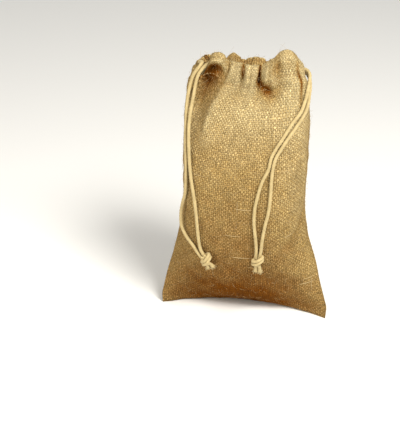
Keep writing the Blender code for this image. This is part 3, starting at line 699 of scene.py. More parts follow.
def hollow(across, up):
    """Depth of the hollow beside its straight edge."""
    top, foot = np.array(HOLLOW_TOP), np.array(HOLLOW_FOOT)
    run = (top - foot) / np.linalg.norm(top - foot)
    inside = np.maximum((up - foot[1]) * run[0] - (across - foot[0]) * run[1], 0)
    depth = 1 - np.exp(-inside * inside / (inside + HOLLOW_SOFT) / HOLLOW_RUN_IN)
    depth *= smooth_step(up, *HOLLOW_DEEPENS)
    depth *= 1 - smooth_step(up, *HOLLOW_ENDS)
    return HOLLOW_DEPTH * depth * smooth_step(across, *HOLLOW_LEFT)


print("the hollow is up to", HOLLOW_DEPTH, "mm deep")

# %% [markdown]
# ### Where the cloth lies
# The top edge is turned inside and sewn down with one row of running stitches. The thread pulls
# the cloth into a shallow groove, which shows more than the thread does. Above it the cords keep
# the cloth out, and at the seams it is held, so no fold runs there. With that, everything that
# moves the cloth out of its plain outline can be added up.

# %% Gathers, folds, wear and stitching together
STITCH_LINE = 234.5
STITCH_GROOVE = 0.55
GROOVE_WIDTH = 1.4
# broad folds end in the hem, between its edge and this level; pleats up to a width run on over it
FOLDS_END = 237.0
WIDEST_PLEAT = 5.0
# waves of the worn cloth: how long, in which direction, and where they start
WAVES = ((23.0, 20.0, 0.4), (31.0, 75.0, 2.1), (17.0, 130.0, 4.0), (41.0, 160.0, 1.3), (13.0, 50.0, 5.2))
WAVE_HEIGHT = 0.16
# distances from a seam between which folds grow; above the seams the edge is freer
SEAM_HOLDS = (-2.0, 10.0)
EDGE_FREED = 4.0
# the least height over the cords, and how much less is allowed where there are none
LEAST_OVER_CORD = -0.35
FREE_BELOW_HEM = 20.0


def relief(panel, across, up):
    """How far gathers, folds and wear move the cloth out of its plain outline."""
    broad = np.zeros(len(across))
    fine = np.zeros(len(across))
    for fold in named(FOLD_NAMES, FOLDS[panel]):
        height = fold_height(fold, across, up)
        if fold["width"] > WIDEST_PLEAT:
            broad += height
        else:
            fine += height
    broad *= 1 - smooth_step(up, HEM_EDGE, FOLDS_END)
    if panel == "front":
        broad -= hollow(across, up)
    for wave, heading, start in WAVES:
        run = across * math.cos(math.radians(heading)) + up * math.sin(math.radians(heading))
        fine += WAVE_HEIGHT * np.sin(math.tau * run / wave + start)
    broad += bumps(GATHERS[panel], GATHER_NAMES, across, "out", up)
    fine += bumps(RUFFLES[panel], RUFFLE_NAMES, across, "out", up)
    fine -= STITCH_GROOVE * math.exp(-((up - STITCH_LINE) / GROOVE_WIDTH) ** 2)
    from_seam = np.minimum(across, PANEL_WIDTH - across)
    from_seam = from_seam + EDGE_FREED * float(smooth_step(up, HEM_EDGE, LOW_CORD))
    whole = (broad + fine) * smooth_step(from_seam, *SEAM_HOLDS)
    free = FREE_BELOW_HEM * (1 - smooth_step(up, HEM_EDGE, STITCH_LINE))
    return np.maximum(whole, LEAST_OVER_CORD - free)


print("waves of the worn cloth:", len(WAVES))


# %% A place on the cloth
def lift(panel, across, up):
    """How far the gathers raise the cloth."""
    share = float(smooth_step(up, LIFT_STARTS, LIFT_FULL))
    ruffled = bumps(RUFFLES[panel], RUFFLE_NAMES, across, "out", up) * RUFFLE_LIFT
    return bumps(GATHERS[panel], GATHER_NAMES, across, "lift", roundness=LIFT_ROUNDNESS) * share + ruffled


def cloth_point(panel, across, up):
    """Points of the cloth's outer face at one level."""
    across = np.asarray(across, float)
    base, outward = on_outline(panel, across, up)
    point = base + outward * relief(panel, across, up)[:, None]
    point[:, 2] += lift(panel, across, up)
    return point, outward


mouth = cloth_point("front", [PANEL_WIDTH / 2], CASING_TOP)[0][0]
print("the front's edge stands", round(float(mouth[2])), "mm high in the middle")

# %% [markdown]
# ### One sheet
# The sheet is built as a grid of its right side only: up the front, over the top of the hem, and
# down inside to the hem's edge, and the same for the back. The two are joined along the bottom
# and up to where the seams end. A Solidify modifier then gives the cloth its thickness inwards.

# %% The grid of a panel
COLUMNS = 149
ACROSS = np.linspace(0, PANEL_WIDTH, COLUMNS)
BODY_LEVELS = np.concatenate([np.linspace(0, 217, 88), np.linspace(218.2, HEM_EDGE, 9)])
CASING_LEVELS = np.concatenate([np.linspace(228.0, 233.0, 6), np.linspace(234.6, CASING_TOP, 10)])
FACE_LEVELS = np.concatenate([BODY_LEVELS, CASING_LEVELS])
HEM_LEVELS = np.concatenate([[HEM_EDGE], np.linspace(230.0, CASING_TOP, 12)])


def grid_normals(grid, panel):
    """Outward directions of a grid of points with rows up and columns across."""
    normal = np.cross(np.gradient(grid, axis=1), np.gradient(grid, axis=0))
    return unit(normal) * (1 if panel == "front" else -1)


print("rows up a panel:", len(FACE_LEVELS), "and down its hem:", len(HEM_LEVELS))

# %% The hem inside the mouth
# levels, and how far the inner layer has left the outer one there: sewn to it, then round the cords
HEM_LEAVES = ((227.0, 234.5, 239.5, 249.0), (0.0, 0.0, 0.95, 1.0))
EASE_PASSES = 60


def hem_rows(panel, face):
    """The right side of the turned-in hem, from its raw edge up."""
    normal = grid_normals(face, panel)
    rows = []
    for up in HEM_LEVELS:
        near = int(np.argmin(np.abs(FACE_LEVELS - up)))
        close = face[near] - (CLOTH + LAYER_GAP) * normal[near]
        close[:, 2] = face[near][:, 2] + (up - FACE_LEVELS[near])
        base, outward = on_outline(panel, ACROSS, up, spread=HEM_SPREAD)
        depth = CLOTH + CORD_WIDTH + CORD_CLEARANCE + HEM_ROOM
        depth = depth + bumps(GATHERS[panel], GATHER_NAMES, ACROSS, "inward")
        loose = base - outward * depth[:, None]
        loose[:, 2] = close[:, 2]
        for _ in range(EASE_PASSES):
            loose[1:-1] = (loose[:-2] + 2 * loose[1:-1] + loose[2:]) / 4
        loose -= outward * bumps(RUFFLES[panel], RUFFLE_NAMES, ACROSS, "out", up)[:, None] * RUFFLE_INSIDE
        rows.append(close + (loose - close) * np.interp(up, *HEM_LEAVES))
    rows = np.array(rows)
    return rows - CLOTH * grid_normals(rows, panel)


print("the hem leaves the outer layer above level", HEM_LEAVES[0][1])


# %% The fold over the top, and a whole panel
FOLD_CROWN = np.array([0, 0, 4.8])
FOLD_SHOULDER = np.array([0, 0, 3.2])
FOLD_ROWS = 9


def fold_over(face, hem):
    """The rows that turn over the top of the mouth, from the outer layer to the hem."""
    middle = (face[-1] + hem[-1]) / 2
    thick = unit(face[-1] - hem[-1]) * CLOTH
    arch = np.array([face[-2], face[-1], middle + thick + FOLD_SHOULDER, middle + FOLD_CROWN,
                     middle - thick + FOLD_SHOULDER, hem[-1], hem[-2]])
    fold = np.empty((FOLD_ROWS, COLUMNS, 3))
    for k in range(COLUMNS):
        curve = smooth_curve(arch[:, k], start=1, end=len(arch) - 2)
        lengths = lengths_along(curve)
        fold[:, k] = read_along(np.linspace(0, lengths[-1], FOLD_ROWS + 2)[1:-1], lengths, curve)
    return fold


def panel_rows(panel):
    """Every row of a panel's right side: outer layer, fold over the top, hem down inside."""
    face = np.array([cloth_point(panel, ACROSS, up)[0] for up in FACE_LEVELS])
    hem = hem_rows(panel, face)
    return np.vstack([face, fold_over(face, hem), hem[::-1]])


def flat_places(panel, rows):
    """Places of a panel's grid on the flat cloth, measured from the middle of the bottom fold."""
    over = rows[len(FACE_LEVELS) - 1:len(FACE_LEVELS) + FOLD_ROWS + 1]
    over = np.cumsum(np.linalg.norm(np.diff(over, axis=0), axis=2).mean(axis=1))
    up = np.concatenate([FACE_LEVELS, CASING_TOP + over[:-1],
                         CASING_TOP + over[-1] + CASING_TOP - HEM_LEVELS[::-1]])
    across = np.linspace(-PANEL_WIDTH / 2, PANEL_WIDTH / 2, COLUMNS)
    across, up = np.meshgrid(across, up if panel == "front" else -up)
    return np.stack([across, up], axis=2)


grids = {panel: panel_rows(panel) for panel in PANELS}
flats = {panel: flat_places(panel, grids[panel]) for panel in PANELS}
print("points on the two panels:", sum(grid.shape[0] * grid.shape[1] for grid in grids.values()))

# %% [markdown]
# ### Shades
# Light and shade are partly painted into the cloth's colour. It is painted darker in its folds and at its
# foot, where shade falls, and paler along its ridges and lit places. So each point keeps one more number,
# its painted shade. One part of it is measured on the shape: how far the point lies below or above the
# cloth around it. The other part is a table of painted shade spots, soft spots on the flat cloth that
# deepen its colour or take some away.

# %% Table of painted shade spots
# panel, across, up: the middle of a painted shade spot; how far it reaches both ways; how dark it is
PAINTED_SHADE_SPOT_NAMES = ("panel", "across", "up", "wide", "high", "dark")
PAINTED_SHADE_SPOTS = (
    # painted shade at the foot and the lower body
    ("front", 80.0, 16.0, 54.0, 42.0, 1.25),
    ("front", 76.0, 84.0, 66.0, 44.0, 0.36),
    ("front", 20.0, 20.0, 30.0, 40.0, 0.32),
    # painted shade in the hollow below the left ear, and painted light at its paler lower end
    ("front", 12.0, 237.0, 15.0, 8.0, 1.72),
    ("front", 15.0, 222.0, 14.0, 13.0, 0.62),
    ("front", 12.0, 197.0, 13.0, 14.0, -0.45),
    # painted shade in the deepest pleat, from the edge down into its cup
    ("front", 78.0, 254.0, 1.7, 5.0, 2.40),
    ("front", 77.7, 247.0, 2.0, 4.5, 2.50),
    ("front", 77.6, 241.5, 2.6, 3.5, 2.50),
    ("front", 81.0, 238.0, 4.6, 4.6, 1.70),
    ("front", 86.5, 232.5, 7.0, 6.0, 1.20),
    ("front", 92.0, 228.0, 9.0, 7.0, 0.90),
    ("front", 98.5, 223.5, 10.0, 7.0, 0.60),
    # painted shade in the smaller pleat left of it and the dent in the right ear, and a painted shadow
    # along the crease at its side
    ("front", 52.0, 251.0, 2.6, 5.5, 1.80),
    ("front", 54.2, 245.5, 3.0, 4.5, 1.30),
    ("front", 101.0, 246.0, 8.0, 7.0, 0.75),
    ("front", 108.0, 239.0, 7.0, 6.0, 0.45),
    ("front", 130.2, 229.0, 2.1, 18.0, 2.10),
    # painted light, less than 0: between the pleats, below the hem, and at the right
    ("front", 62.0, 244.0, 34.0, 12.0, -1.00),
    ("front", 72.0, 214.0, 56.0, 36.0, -0.75),
    ("front", 132.0, 222.0, 28.0, 30.0, -0.75),
    ("front", 136.0, 140.0, 22.0, 60.0, -0.30),
    # painted shade at the foot of the back
    ("back", 76.0, 10.0, 60.0, 30.0, 0.60),
)
print("painted_shade_spots:", len(PAINTED_SHADE_SPOTS))

# %% Shade of each point
SHADE_REACH = 3.6
EASE_ACROSS = 40
EASE_UP = 14
# painted shade on the inside of the hems, in the mouth
INSIDE_SHADE = -0.45
TOP_ROW_HEIGHT = 1.2


def softened(grid, passes, axis):
    """A grid of points, eased along one of its directions."""
    grid = np.moveaxis(grid.copy(), axis, 0)
    for _ in range(passes):
        grid[1:-1] = (grid[:-2] + 2 * grid[1:-1] + grid[2:]) / 4
    return np.moveaxis(grid, 0, axis)


def shade_rows(rows, panel):
    """Painted shade of each point: less than 0 in troughs and painted dark spots, more than 0, painted
    light, on ridges.
    """
    # painted shade in troughs and painted light on ridges, by how far each point lies below or above the
    # eased cloth
    calm = softened(softened(rows, EASE_ACROSS, 1), EASE_UP, 0)
    shade = np.sum((rows - calm) * grid_normals(rows, panel), axis=2) / SHADE_REACH
    over_top = CASING_TOP + TOP_ROW_HEIGHT * np.arange(1, FOLD_ROWS // 2 + 2)
    levels = np.concatenate([FACE_LEVELS, over_top])
    for painted_spot in named(PAINTED_SHADE_SPOT_NAMES, PAINTED_SHADE_SPOTS):
        if painted_spot["panel"] == panel:
            sideways = (ACROSS[None] - painted_spot["across"]) / painted_spot["wide"]
            upwards = (levels[:, None] - painted_spot["up"]) / painted_spot["high"]
            shade[:len(levels)] -= painted_spot["dark"] * np.exp(-sideways ** 2 - upwards ** 2)
    shade[len(levels):] += INSIDE_SHADE
    return shade


print("shade 1 stands", SHADE_REACH, "mm over the cloth around it")


# %% The two panels
sack_builder = Builder()
ids = {}


def quad(corners, flat, turned):
    """One face of the sheet, with its right side outwards."""
    if turned:
        corners, flat = corners[::-1], flat[::-1]
    sack_builder.face(corners, flat)


for panel in PANELS:
    shades = shade_rows(grids[panel], panel)
    ids[panel] = [list(sack_builder.add(row, shade)) for row, shade in zip(grids[panel], shades)]
    print(panel, "shades from", round(float(shades.min()), 1), "to", round(float(shades.max()), 1))
for panel in PANELS:
    rows, flat = ids[panel], flats[panel]
    for r in range(len(rows) - 1):
        for c in range(COLUMNS - 1):
            quad((rows[r][c], rows[r][c + 1], rows[r + 1][c + 1], rows[r + 1][c]),
                 (flat[r, c], flat[r, c + 1], flat[r + 1, c + 1], flat[r + 1, c]), panel == "back")

# %% [markdown]
# On the real sack the two panels lie face to face when their sides are sewn, and the sack is then
# turned out. The seam shows as a fine sunken line. A row of points between the panels, pulled in a
# little, gives that line. The seams stop a little above the hem's edge, and leave the slits where
# the cords come out.

# %% The seams at the sides
SEAM_PINCH = 0.5
SEWN_INTO_HEM = 4
# each seam's column in a panel, and the direction in which the flat cloth goes on past it
SEAMS = {"left": (0, -1), "right": (-1, 1)}

sewn = len(BODY_LEVELS) + SEWN_INTO_HEM
for side, (end, beyond) in SEAMS.items():
    front, back = (grids[panel][:sewn, end] for panel in PANELS)
    inward = unit(grids["front"][:sewn, COLUMNS // 2] - front)
    between = (front + back) / 2 + inward * SEAM_PINCH
    between[0, 2] = (front + back)[0, 2] / 2
    seam = ids[side] = list(sack_builder.add(between))
    for panel in PANELS:
        edge, flat = [row[end] for row in ids[panel]], flats[panel][:, end]
        rim = flat[:sewn] + np.array([beyond * SEAM_HALF, 0])
        for r in range(sewn - 1):
            quad((edge[r], seam[r], seam[r + 1], edge[r + 1]), (flat[r], rim[r], rim[r + 1], flat[r + 1]),
                 (panel == "front") != (side == "right"))
    print("seam", side, round(float(np.linalg.norm(front[-1] - front[0]))), "mm")

# %% The fold along the bottom
front, back = (grids[panel][0] for panel in PANELS)
bottom = list(sack_builder.add(((front + back) / 2)[1:-1]))
bottom = [ids["left"][0]] + bottom + [ids["right"][0]]
for panel in PANELS:
    edge, flat = ids[panel][0], flats[panel][0]
    rim = flat + np.array([0, -SEAM_HALF if panel == "front" else SEAM_HALF])
    for c in range(COLUMNS - 1):
        quad((bottom[c], bottom[c + 1], edge[c + 1], edge[c]), (rim[c], rim[c + 1], flat[c + 1], flat[c]),
             panel == "back")
print("points along the bottom:", len(bottom))

# %% The cloth's thickness
sack = sack_builder.finish("burlap_sack")
thickness = sack.modifiers.new("thickness", "SOLIDIFY")
thickness.thickness = CLOTH * MM
thickness.offset = -1
bpy.context.view_layer.objects.active = sack
bpy.ops.object.select_all(action="DESELECT")
sack.select_set(True)
bpy.ops.object.modifier_apply(modifier=thickness.name)
print("sack", len(sack.data.polygons), "faces")


# %% [markdown]
# ### The stretches of cord inside the hems
# At the two slits one can look into the hems, and see each string on its way round. So these
# stretches are made too, at the same levels as in the packed model.

# %% Cords in the hems
# the level of each string, and the places across a panel between which the hems hold it
STRINGS = {"left": (HIGH_CORD, 24.0, 156.5), "right": (LOW_CORD, 128.0, -4.5)}
CASING_STEPS = 15

casing_cords = {}
for side, (up, first, last) in STRINGS.items():
    across = np.linspace(first, last, CASING_STEPS)
    legs = []
    for panel in PANELS:
        base, outward = on_outline(panel, across, up, spread=HEM_SPREAD)
        leg = base - outward * CORD_DEPTH
        leg[:, 2] += lift(panel, across, up)
        legs.append(leg)
    front, back = (np.array(ROUTES[side + "_" + end][:3]) / MM for end in ("front", "back"))
    whole = np.vstack([front[::-1], legs[0], legs[1][::-1], back])
    points, length = even_points(smooth_curve(whole, start=1, end=len(whole) - 2), CORD_STEP)
    casing_cords[side] = cord_piece("cord_" + side + "_in_hem", points)
    print("stretch of the", side, "string in the hems:", round(length), "mm")


# %% [markdown]
# ### Stitches, slubs and loose fibres
# Three small things make the cloth read as real jute. Running stitches follow the hem line. Slubs
# are thick soft places in single yarns, paler than the rest. And jute sheds: short hairs stand off
# it all over, and soften its edges against the light.

# %% Running stitches along the hem
STITCH_PITCH = 4.6
STITCH_LENGTH = 3.0
STITCH_WIDTH = 0.7
STITCH_MARGIN = 4.0
STITCH_POINTS = 6
STITCH_SIDES = 6
# how high it arches, how deep its ends sink, and the share of its width that they keep
STITCH_ARCH = 0.35
STITCH_SINKS = 0.25
STITCH_ENDS = 0.45

builder = Builder()
arch = np.sin(np.linspace(0, math.pi, STITCH_POINTS))
for panel in PANELS:
    for middle in np.arange(STITCH_MARGIN, PANEL_WIDTH - STITCH_MARGIN, STITCH_PITCH):
        across = middle + np.linspace(-0.5, 0.5, STITCH_POINTS) * STITCH_LENGTH
        place, outward = cloth_point(panel, across, STITCH_LINE)
        points = place + outward * (STITCH_ARCH * arch - STITCH_SINKS)[:, None]
        radius = STITCH_WIDTH / 2 * (STITCH_ENDS + (1 - STITCH_ENDS) * arch)
        sweep(builder, points, radius, STITCH_SIDES)
stitches = builder.finish("hem_stitches")
print("stitches:", len(builder.faces), "faces")

# %% Slubs
# panel, across and up of the start, across and up of the end, and thickness of each slub
SLUBS = (
    ("front", 73.0, 124.4, 88.5, 124.6, 0.9), ("front", 70.5, 76.0, 87.5, 76.4, 0.8),
    ("front", 99.0, 203.6, 112.0, 203.8, 0.8), ("front", 78.0, 203.2, 88.0, 203.3, 0.6),
    ("front", 132.0, 39.0, 147.0, 40.0, 0.9), ("front", 136.0, 44.6, 149.0, 45.0, 0.7),
    ("front", 143.5, 30.0, 143.9, 46.0, 0.7), ("front", 75.0, 132.0, 75.2, 119.0, 0.5),
    ("front", 64.0, 98.2, 80.0, 98.4, 0.6), ("front", 84.0, 66.0, 98.0, 66.2, 0.6),
    ("front", 32.0, 150.0, 44.0, 150.2, 0.6), ("front", 110.0, 160.4, 121.0, 160.4, 0.6),
    ("front", 52.0, 180.0, 52.2, 192.0, 0.6), ("front", 118.0, 96.0, 131.0, 96.2, 0.7),
    ("back", 40.0, 130.0, 56.0, 130.2, 0.8), ("back", 88.0, 84.0, 106.0, 84.3, 0.8),
    ("back", 62.0, 176.0, 74.0, 176.1, 0.7), ("back", 118.0, 150.0, 118.3, 166.0, 0.6),
    ("back", 28.0, 62.0, 42.0, 62.2, 0.7), ("back", 100.0, 196.0, 112.0, 196.0, 0.6),
)

SLUB_POINTS = 14
SLUB_SIDES = 7
SLUB_STANDS = 0.12
SLUB_FULLNESS = 0.4
SLUB_ENDS = 0.25

builder = Builder()
swell = np.sin(np.linspace(0, math.pi, SLUB_POINTS)) ** 0.5
for panel, across_a, up_a, across_b, up_b, width in SLUBS:
    points = []
    for share in np.linspace(0, 1, SLUB_POINTS):
        place, outward = cloth_point(panel, [across_a + share * (across_b - across_a)],
                                     up_a + share * (up_b - up_a))
        points.append(place[0] + outward[0] * SLUB_STANDS)
    radius = width * SLUB_FULLNESS * (SLUB_ENDS + (1 - SLUB_ENDS) * swell)
    sweep(builder, np.array(points), radius, SLUB_SIDES)
slubs = builder.finish("slubs")
print("slubs:", len(SLUBS))

# %% Loose fibres
FIBRE_COUNT = 2600
FIBRE_LENGTH = (1.6, 6.5)
FIBRE_WIDTH = (0.05, 0.10)
FIBRE_LEAN = (0.1, 0.75)
FIBRE_CURL = 0.5
FIBRE_ARC = 1.5
FIBRE_SIDES = 3
# places along a fibre, and how thick it is there
FIBRE_PLACES = (0, 0.35, 0.7, 1.0)
FIBRE_TAPER = np.array([1, 0.9, 0.7, 0.3])
FIBRE_ROOT = 0.1
ABOVE_FLOOR = 0.1

chance = random.Random("loose fibres")
builder = Builder()
last_row = len(FACE_LEVELS) + FOLD_ROWS
for _ in range(FIBRE_COUNT):
    panel = chance.choice(PANELS)
    rows = grids[panel]
    row, column = chance.randrange(1, last_row), chance.randrange(1, COLUMNS - 1)
    across = unit(rows[row, column + 1] - rows[row, column - 1])
    upward = unit(rows[row + 1, column] - rows[row - 1, column])
    outward = unit(np.cross(across, upward)) * (1 if panel == "front" else -1)
    heading = chance.uniform(0, math.tau)
    ahead = across * math.cos(heading) + upward * math.sin(heading)
    curl = across * chance.gauss(0, FIBRE_CURL) + upward * chance.gauss(0, FIBRE_CURL)
    reach = chance.uniform(*FIBRE_LENGTH)
    rise = outward * chance.uniform(*FIBRE_LEAN)
    root = rows[row, column] - outward * FIBRE_ROOT
    points = np.array([root + reach * (ahead * t + rise * t * (FIBRE_ARC - t) + curl * t * t)
                       for t in FIBRE_PLACES])
    points[:, 2] = np.maximum(points[:, 2], ABOVE_FLOOR)
    sweep(builder, points, chance.uniform(*FIBRE_WIDTH) * FIBRE_TAPER, FIBRE_SIDES, capped=False)
fibres = builder.finish("loose_fibres")
print("loose fibres:", FIBRE_COUNT)


# %% [markdown]
# ## Materials
# The weave is worked out from the flat coordinates of the cloth. A pattern like this is a page of
# arithmetic, which would be a maze of Math nodes if wired by hand. So a small class lets us write
# it as formulas: each plus or times of two signals adds one Math node to the material.

# %% Formulas that build Math nodes
class Signal:
    """One number of a material. Arithmetic with signals adds Math nodes."""

    def __init__(self, socket):
        """Take the number that comes out of a node's socket."""
        self.socket = socket

    def math(self, operation, *others):
        """One Math node of this signal and others."""
        tree = self.socket.id_data
        node = tree.nodes.new("ShaderNodeMath")
        node.operation = operation
        for slot, value in zip(node.inputs, (self,) + others):
            plug(tree, slot, value)
        return Signal(node.outputs[0])

    def __add__(self, other):
        return self.math("ADD", other)

    def __sub__(self, other):
        return self.math("SUBTRACT", other)

    def __mul__(self, other):
        return self.math("MULTIPLY", other)

    def clamped(self):
        """No less than 0 and no more than 1."""
        return self.math("MAXIMUM", 0.0).math("MINIMUM", 1.0)


def plug(tree, slot, value):
    """Set a node's input to a number or colour, or link a signal to it."""
    if isinstance(value, Signal):
        tree.links.new(value.socket, slot)
    else:
        slot.default_value = value


print("a signal can be added, subtracted, multiplied and clamped")


# %% Materials, coordinates and noise
def new_material(name):
    """A material with its node tree and its shader."""
    made = bpy.data.materials.new(name)
    made.use_nodes = True
    return made, made.node_tree, made.node_tree.nodes["Principled BSDF"]


def flat_signals(tree):
    """The two flat coordinates of a piece, in metres."""
    place = tree.nodes.new("ShaderNodeUVMap")
    place.uv_map = "flat"
    parts = tree.nodes.new("ShaderNodeSeparateXYZ")
    tree.links.new(place.outputs["UV"], parts.inputs[0])
    return Signal(parts.outputs["X"]), Signal(parts.outputs["Y"])


def noise(tree, x, y, z=0.0, scale=1.0, detail=2.0):
    """Soft noise from 0 to 1 at a place made of three signals."""
    place = tree.nodes.new("ShaderNodeCombineXYZ")
    for slot, value in zip(place.inputs, (x, y, z)):
        plug(tree, slot, value)
    node = tree.nodes.new("ShaderNodeTexNoise")
    node.inputs["Scale"].default_value = scale
    node.inputs["Detail"].default_value = detail
    tree.links.new(place.outputs[0], node.inputs["Vector"])
    return Signal(node.outputs["Fac"])


def blended(tree, share, first, second, kind="MIX"):
    """A colour between two colours."""
    node = tree.nodes.new("ShaderNodeMix")
    node.data_type = "RGBA"
    node.blend_type = kind
    for slot, value in zip((node.inputs[0], node.inputs[6], node.inputs[7]), (share, first, second)):
        plug(tree, slot, value)
    return Signal(node.outputs[2])


def varied(signal, strength):
    """A noise made to vary about 1, so that a colour can be multiplied by it."""
    return (signal - 0.5) * strength + 1.0


def add_bump(tree, shader, height, distance):
    """Let a height tilt the surface, as relief too fine to be built does."""
    node = tree.nodes.new("ShaderNodeBump")
    node.inputs["Distance"].default_value = distance
    tree.links.new(height.socket, node.inputs["Height"])
    tree.links.new(node.outputs["Normal"], shader.inputs["Normal"])


print("tools for materials are ready")

# %% [markdown]
# ### The weave
# Plain weave: each yarn goes over one and under the next. In the cell where a warp and a weft yarn
# cross, one of them is on top, and that changes from cell to cell like a chessboard. Each yarn is
# round across its width and rises and dips along its length. The higher of the two at a point is
# the one we see. Where both are low there is a gap, painted near black as the shade between the
# yarns. The weft is painted darker than the warp, as the light and shade of the crossings.
# Hand-woven jute is never straight, so the count of yarns wanders a little, and each yarn has its
# own tone and its own thick places.

# %% Yarns
YARN_PITCH = 1.8 * MM
# how far yarns wander, counted in yarns, and the scales of that wander: slow, and quick
WOBBLE, WOBBLE_SCALE = 1.8, 95.0
SHIFT, SHIFT_SCALE = 0.7, 420.0
# counting starts far outside the cloth, so that no count is less than 0
COUNT_FROM = 400.0
# steps in a noise from one yarn to the next and from one crossing to the next: for tone, for slubs
TONE_STEPS = (0.731, 0.11)
SLUB_STEPS = (1.37, 0.045)
SLUB_SEED = 5.0
SLUB_SCALE = 1.3
# half the width of a yarn where it is thinnest, and how much a slub adds
YARN_HALF = 0.34
YARN_SWELL = 0.34
YARN_LEVEL = 0.64
YARN_RISE = 0.36


def yarn_count(tree, u, v, run, wobble_seed, shift_seed):
    """How many yarns lie before a place, with the wander of hand-woven cloth."""
    wobble = noise(tree, u, v, wobble_seed, WOBBLE_SCALE, detail=2.0)
    shift = noise(tree, u, v, shift_seed, SHIFT_SCALE, detail=1.0)
    return run * (1 / YARN_PITCH) + wobble * WOBBLE + shift * SHIFT + COUNT_FROM


def yarn(tree, beside, along, index, side, seed):
    """Height of one set of yarns, and its tone. beside and along count in yarns."""
    tone = noise(tree, index * TONE_STEPS[0] + seed, along * TONE_STEPS[1], seed, detail=3.0)
    slub = noise(tree, index * SLUB_STEPS[0] + seed, along * SLUB_STEPS[1], seed + SLUB_SEED,
                 SLUB_SCALE, detail=1.0)
    half = slub * YARN_SWELL + YARN_HALF
    off = (beside - 0.5).math("DIVIDE", half)
    round_top = (off * off * -1.0 + 1.0).clamped().math("SQRT")
    wave = ((along.math("FRACT") - 0.5) * math.pi).math("COSINE")
    return round_top * (side * wave * YARN_RISE + YARN_LEVEL), tone


print("yarns across a panel:", round(PANEL_WIDTH * MM / YARN_PITCH))

# %% Warp over weft
# the weft is painted darker than the warp, as painted light and shade of the crossings; the gap colour is
# painted shade between the yarns
WARP_COLOUR = (0.358, 0.248, 0.098, 1)
WEFT_COLOUR = (0.276, 0.178, 0.060, 1)
GAP_SHADE_COLOUR = (0.040, 0.016, 0.003, 1)
WARP_SEED = 3.0
WEFT_SEED = 17.0
CROSSING_SEED = 11.0
CROSSING_STEP = 0.77
# heights below the level turn into the painted shade of the gap; a larger number makes a sharper change of
# colour
GAP_LEVEL = 0.32
GAP_SHARPNESS = 2.6
EDGE_SHARPNESS = 6.0
# how much tones vary from yarn to yarn, and from crossing to crossing
YARN_TONES = 1.1
CROSSING_TONES = 0.85


def weave(tree, u, v):
    """Height and colour of the weave, and a tone to multiply the colour by."""
    x = yarn_count(tree, u, v, u, 0.0, 1.3)
    y = yarn_count(tree, u, v, v, 0.7, 2.1)
    column, row = x.math("FLOOR"), y.math("FLOOR")
    side = (column + row).math("FLOORED_MODULO", 2.0) * 2.0 - 1.0
    warp, warp_tone = yarn(tree, x.math("FRACT"), y, column, side, WARP_SEED)
    weft, weft_tone = yarn(tree, y.math("FRACT"), x, row, side * -1.0, WEFT_SEED)
    height = warp.math("MAXIMUM", weft)
    on_top = ((warp - weft) * EDGE_SHARPNESS + 0.5).clamped()
    colour = blended(tree, on_top, WEFT_COLOUR, WARP_COLOUR)
    colour = blended(tree, ((height - GAP_LEVEL) * GAP_SHARPNESS).clamped(), GAP_SHADE_COLOUR, colour)
    tone = varied(warp_tone * on_top + weft_tone * (on_top * -1.0 + 1.0), YARN_TONES)
    crossing = noise(tree, column * CROSSING_STEP, row * CROSSING_STEP, CROSSING_SEED, detail=0.0)
    return height, colour, tone * varied(crossing, CROSSING_TONES)


# %% [markdown]
# ### Burlap
# Over the weave lie the larger and smaller unevennesses of the cloth: patches, specks, and the
# single fibres of a yarn. Last comes the painted shade that each point keeps. Down to a shade of -1
# the colour turns to a painted deep brown shade, past it to near black, and above 0 it grows paler,
# as painted light.

# %% The burlap's colour
# seed, scale and detail of a noise, and how strongly it varies the colour
PATCHES = (3.0, 22.0, 3.0, 0.35)
SPECKS = (6.0, 1050.0, 1.0, 1.35)
SINGLE_FIBRES = (9.0, 2600.0, 2.0, 0.35)
# painted shade: a deep brown, and past a shade of -1 near black; painted light: paler
PAINTED_SHADE_TINT = (0.50, 0.25, 0.055, 1)
PAINTED_DARK_SHADE_TINT = (0.09, 0.075, 0.07, 1)
PAINTED_LIGHT_TINT = (1.42, 1.66, 2.25, 1)
WEAVE_RELIEF = 0.45 * MM
FIBRE_RELIEF = 0.15
BURLAP_ROUGHNESS = 0.88
BURLAP_SHINE = 0.03


def uneven(tree, u, v, seed, scale, detail, strength):
    """A noise about 1 over the flat cloth."""
    return varied(noise(tree, u, v, seed, scale, detail), strength)


def multiplied(tree, colour, tone):
    """A colour times a tone."""
    grey = tree.nodes.new("ShaderNodeCombineColor")
    for slot in grey.inputs[:3]:
        plug(tree, slot, tone)
    return blended(tree, 1.0, colour, Signal(grey.outputs[0]), "MULTIPLY")


def shaded(tree, colour):
    """A colour made deeper, darker or paler by the painted shade and painted light that each point keeps.
    """
    kept = tree.nodes.new("ShaderNodeAttribute")
    kept.attribute_name = "shade"
    shade = Signal(kept.outputs["Fac"])
    colour = blended(tree, (shade * -1.0).clamped(), colour, PAINTED_SHADE_TINT, "MULTIPLY")
    colour = blended(tree, (shade * -1.0 - 1.0).clamped(), colour, PAINTED_DARK_SHADE_TINT, "MULTIPLY")
    return blended(tree, shade.clamped(), colour, PAINTED_LIGHT_TINT, "MULTIPLY")


def burlap_material():
    """Coarse matt jute in plain weave."""
    made, tree, shader = new_material("burlap")
    u, v = flat_signals(tree)
    height, colour, tone = weave(tree, u, v)
    single = uneven(tree, u, v, *SINGLE_FIBRES)
    tone = tone * uneven(tree, u, v, *PATCHES) * single * uneven(tree, u, v, *SPECKS)
    colour = shaded(tree, multiplied(tree, colour, tone))
    tree.links.new(colour.socket, shader.inputs["Base Color"])
    shader.inputs["Roughness"].default_value = BURLAP_ROUGHNESS
    shader.inputs["Specular IOR Level"].default_value = BURLAP_SHINE
    add_bump(tree, shader, height + single * FIBRE_RELIEF, WEAVE_RELIEF)
    return made


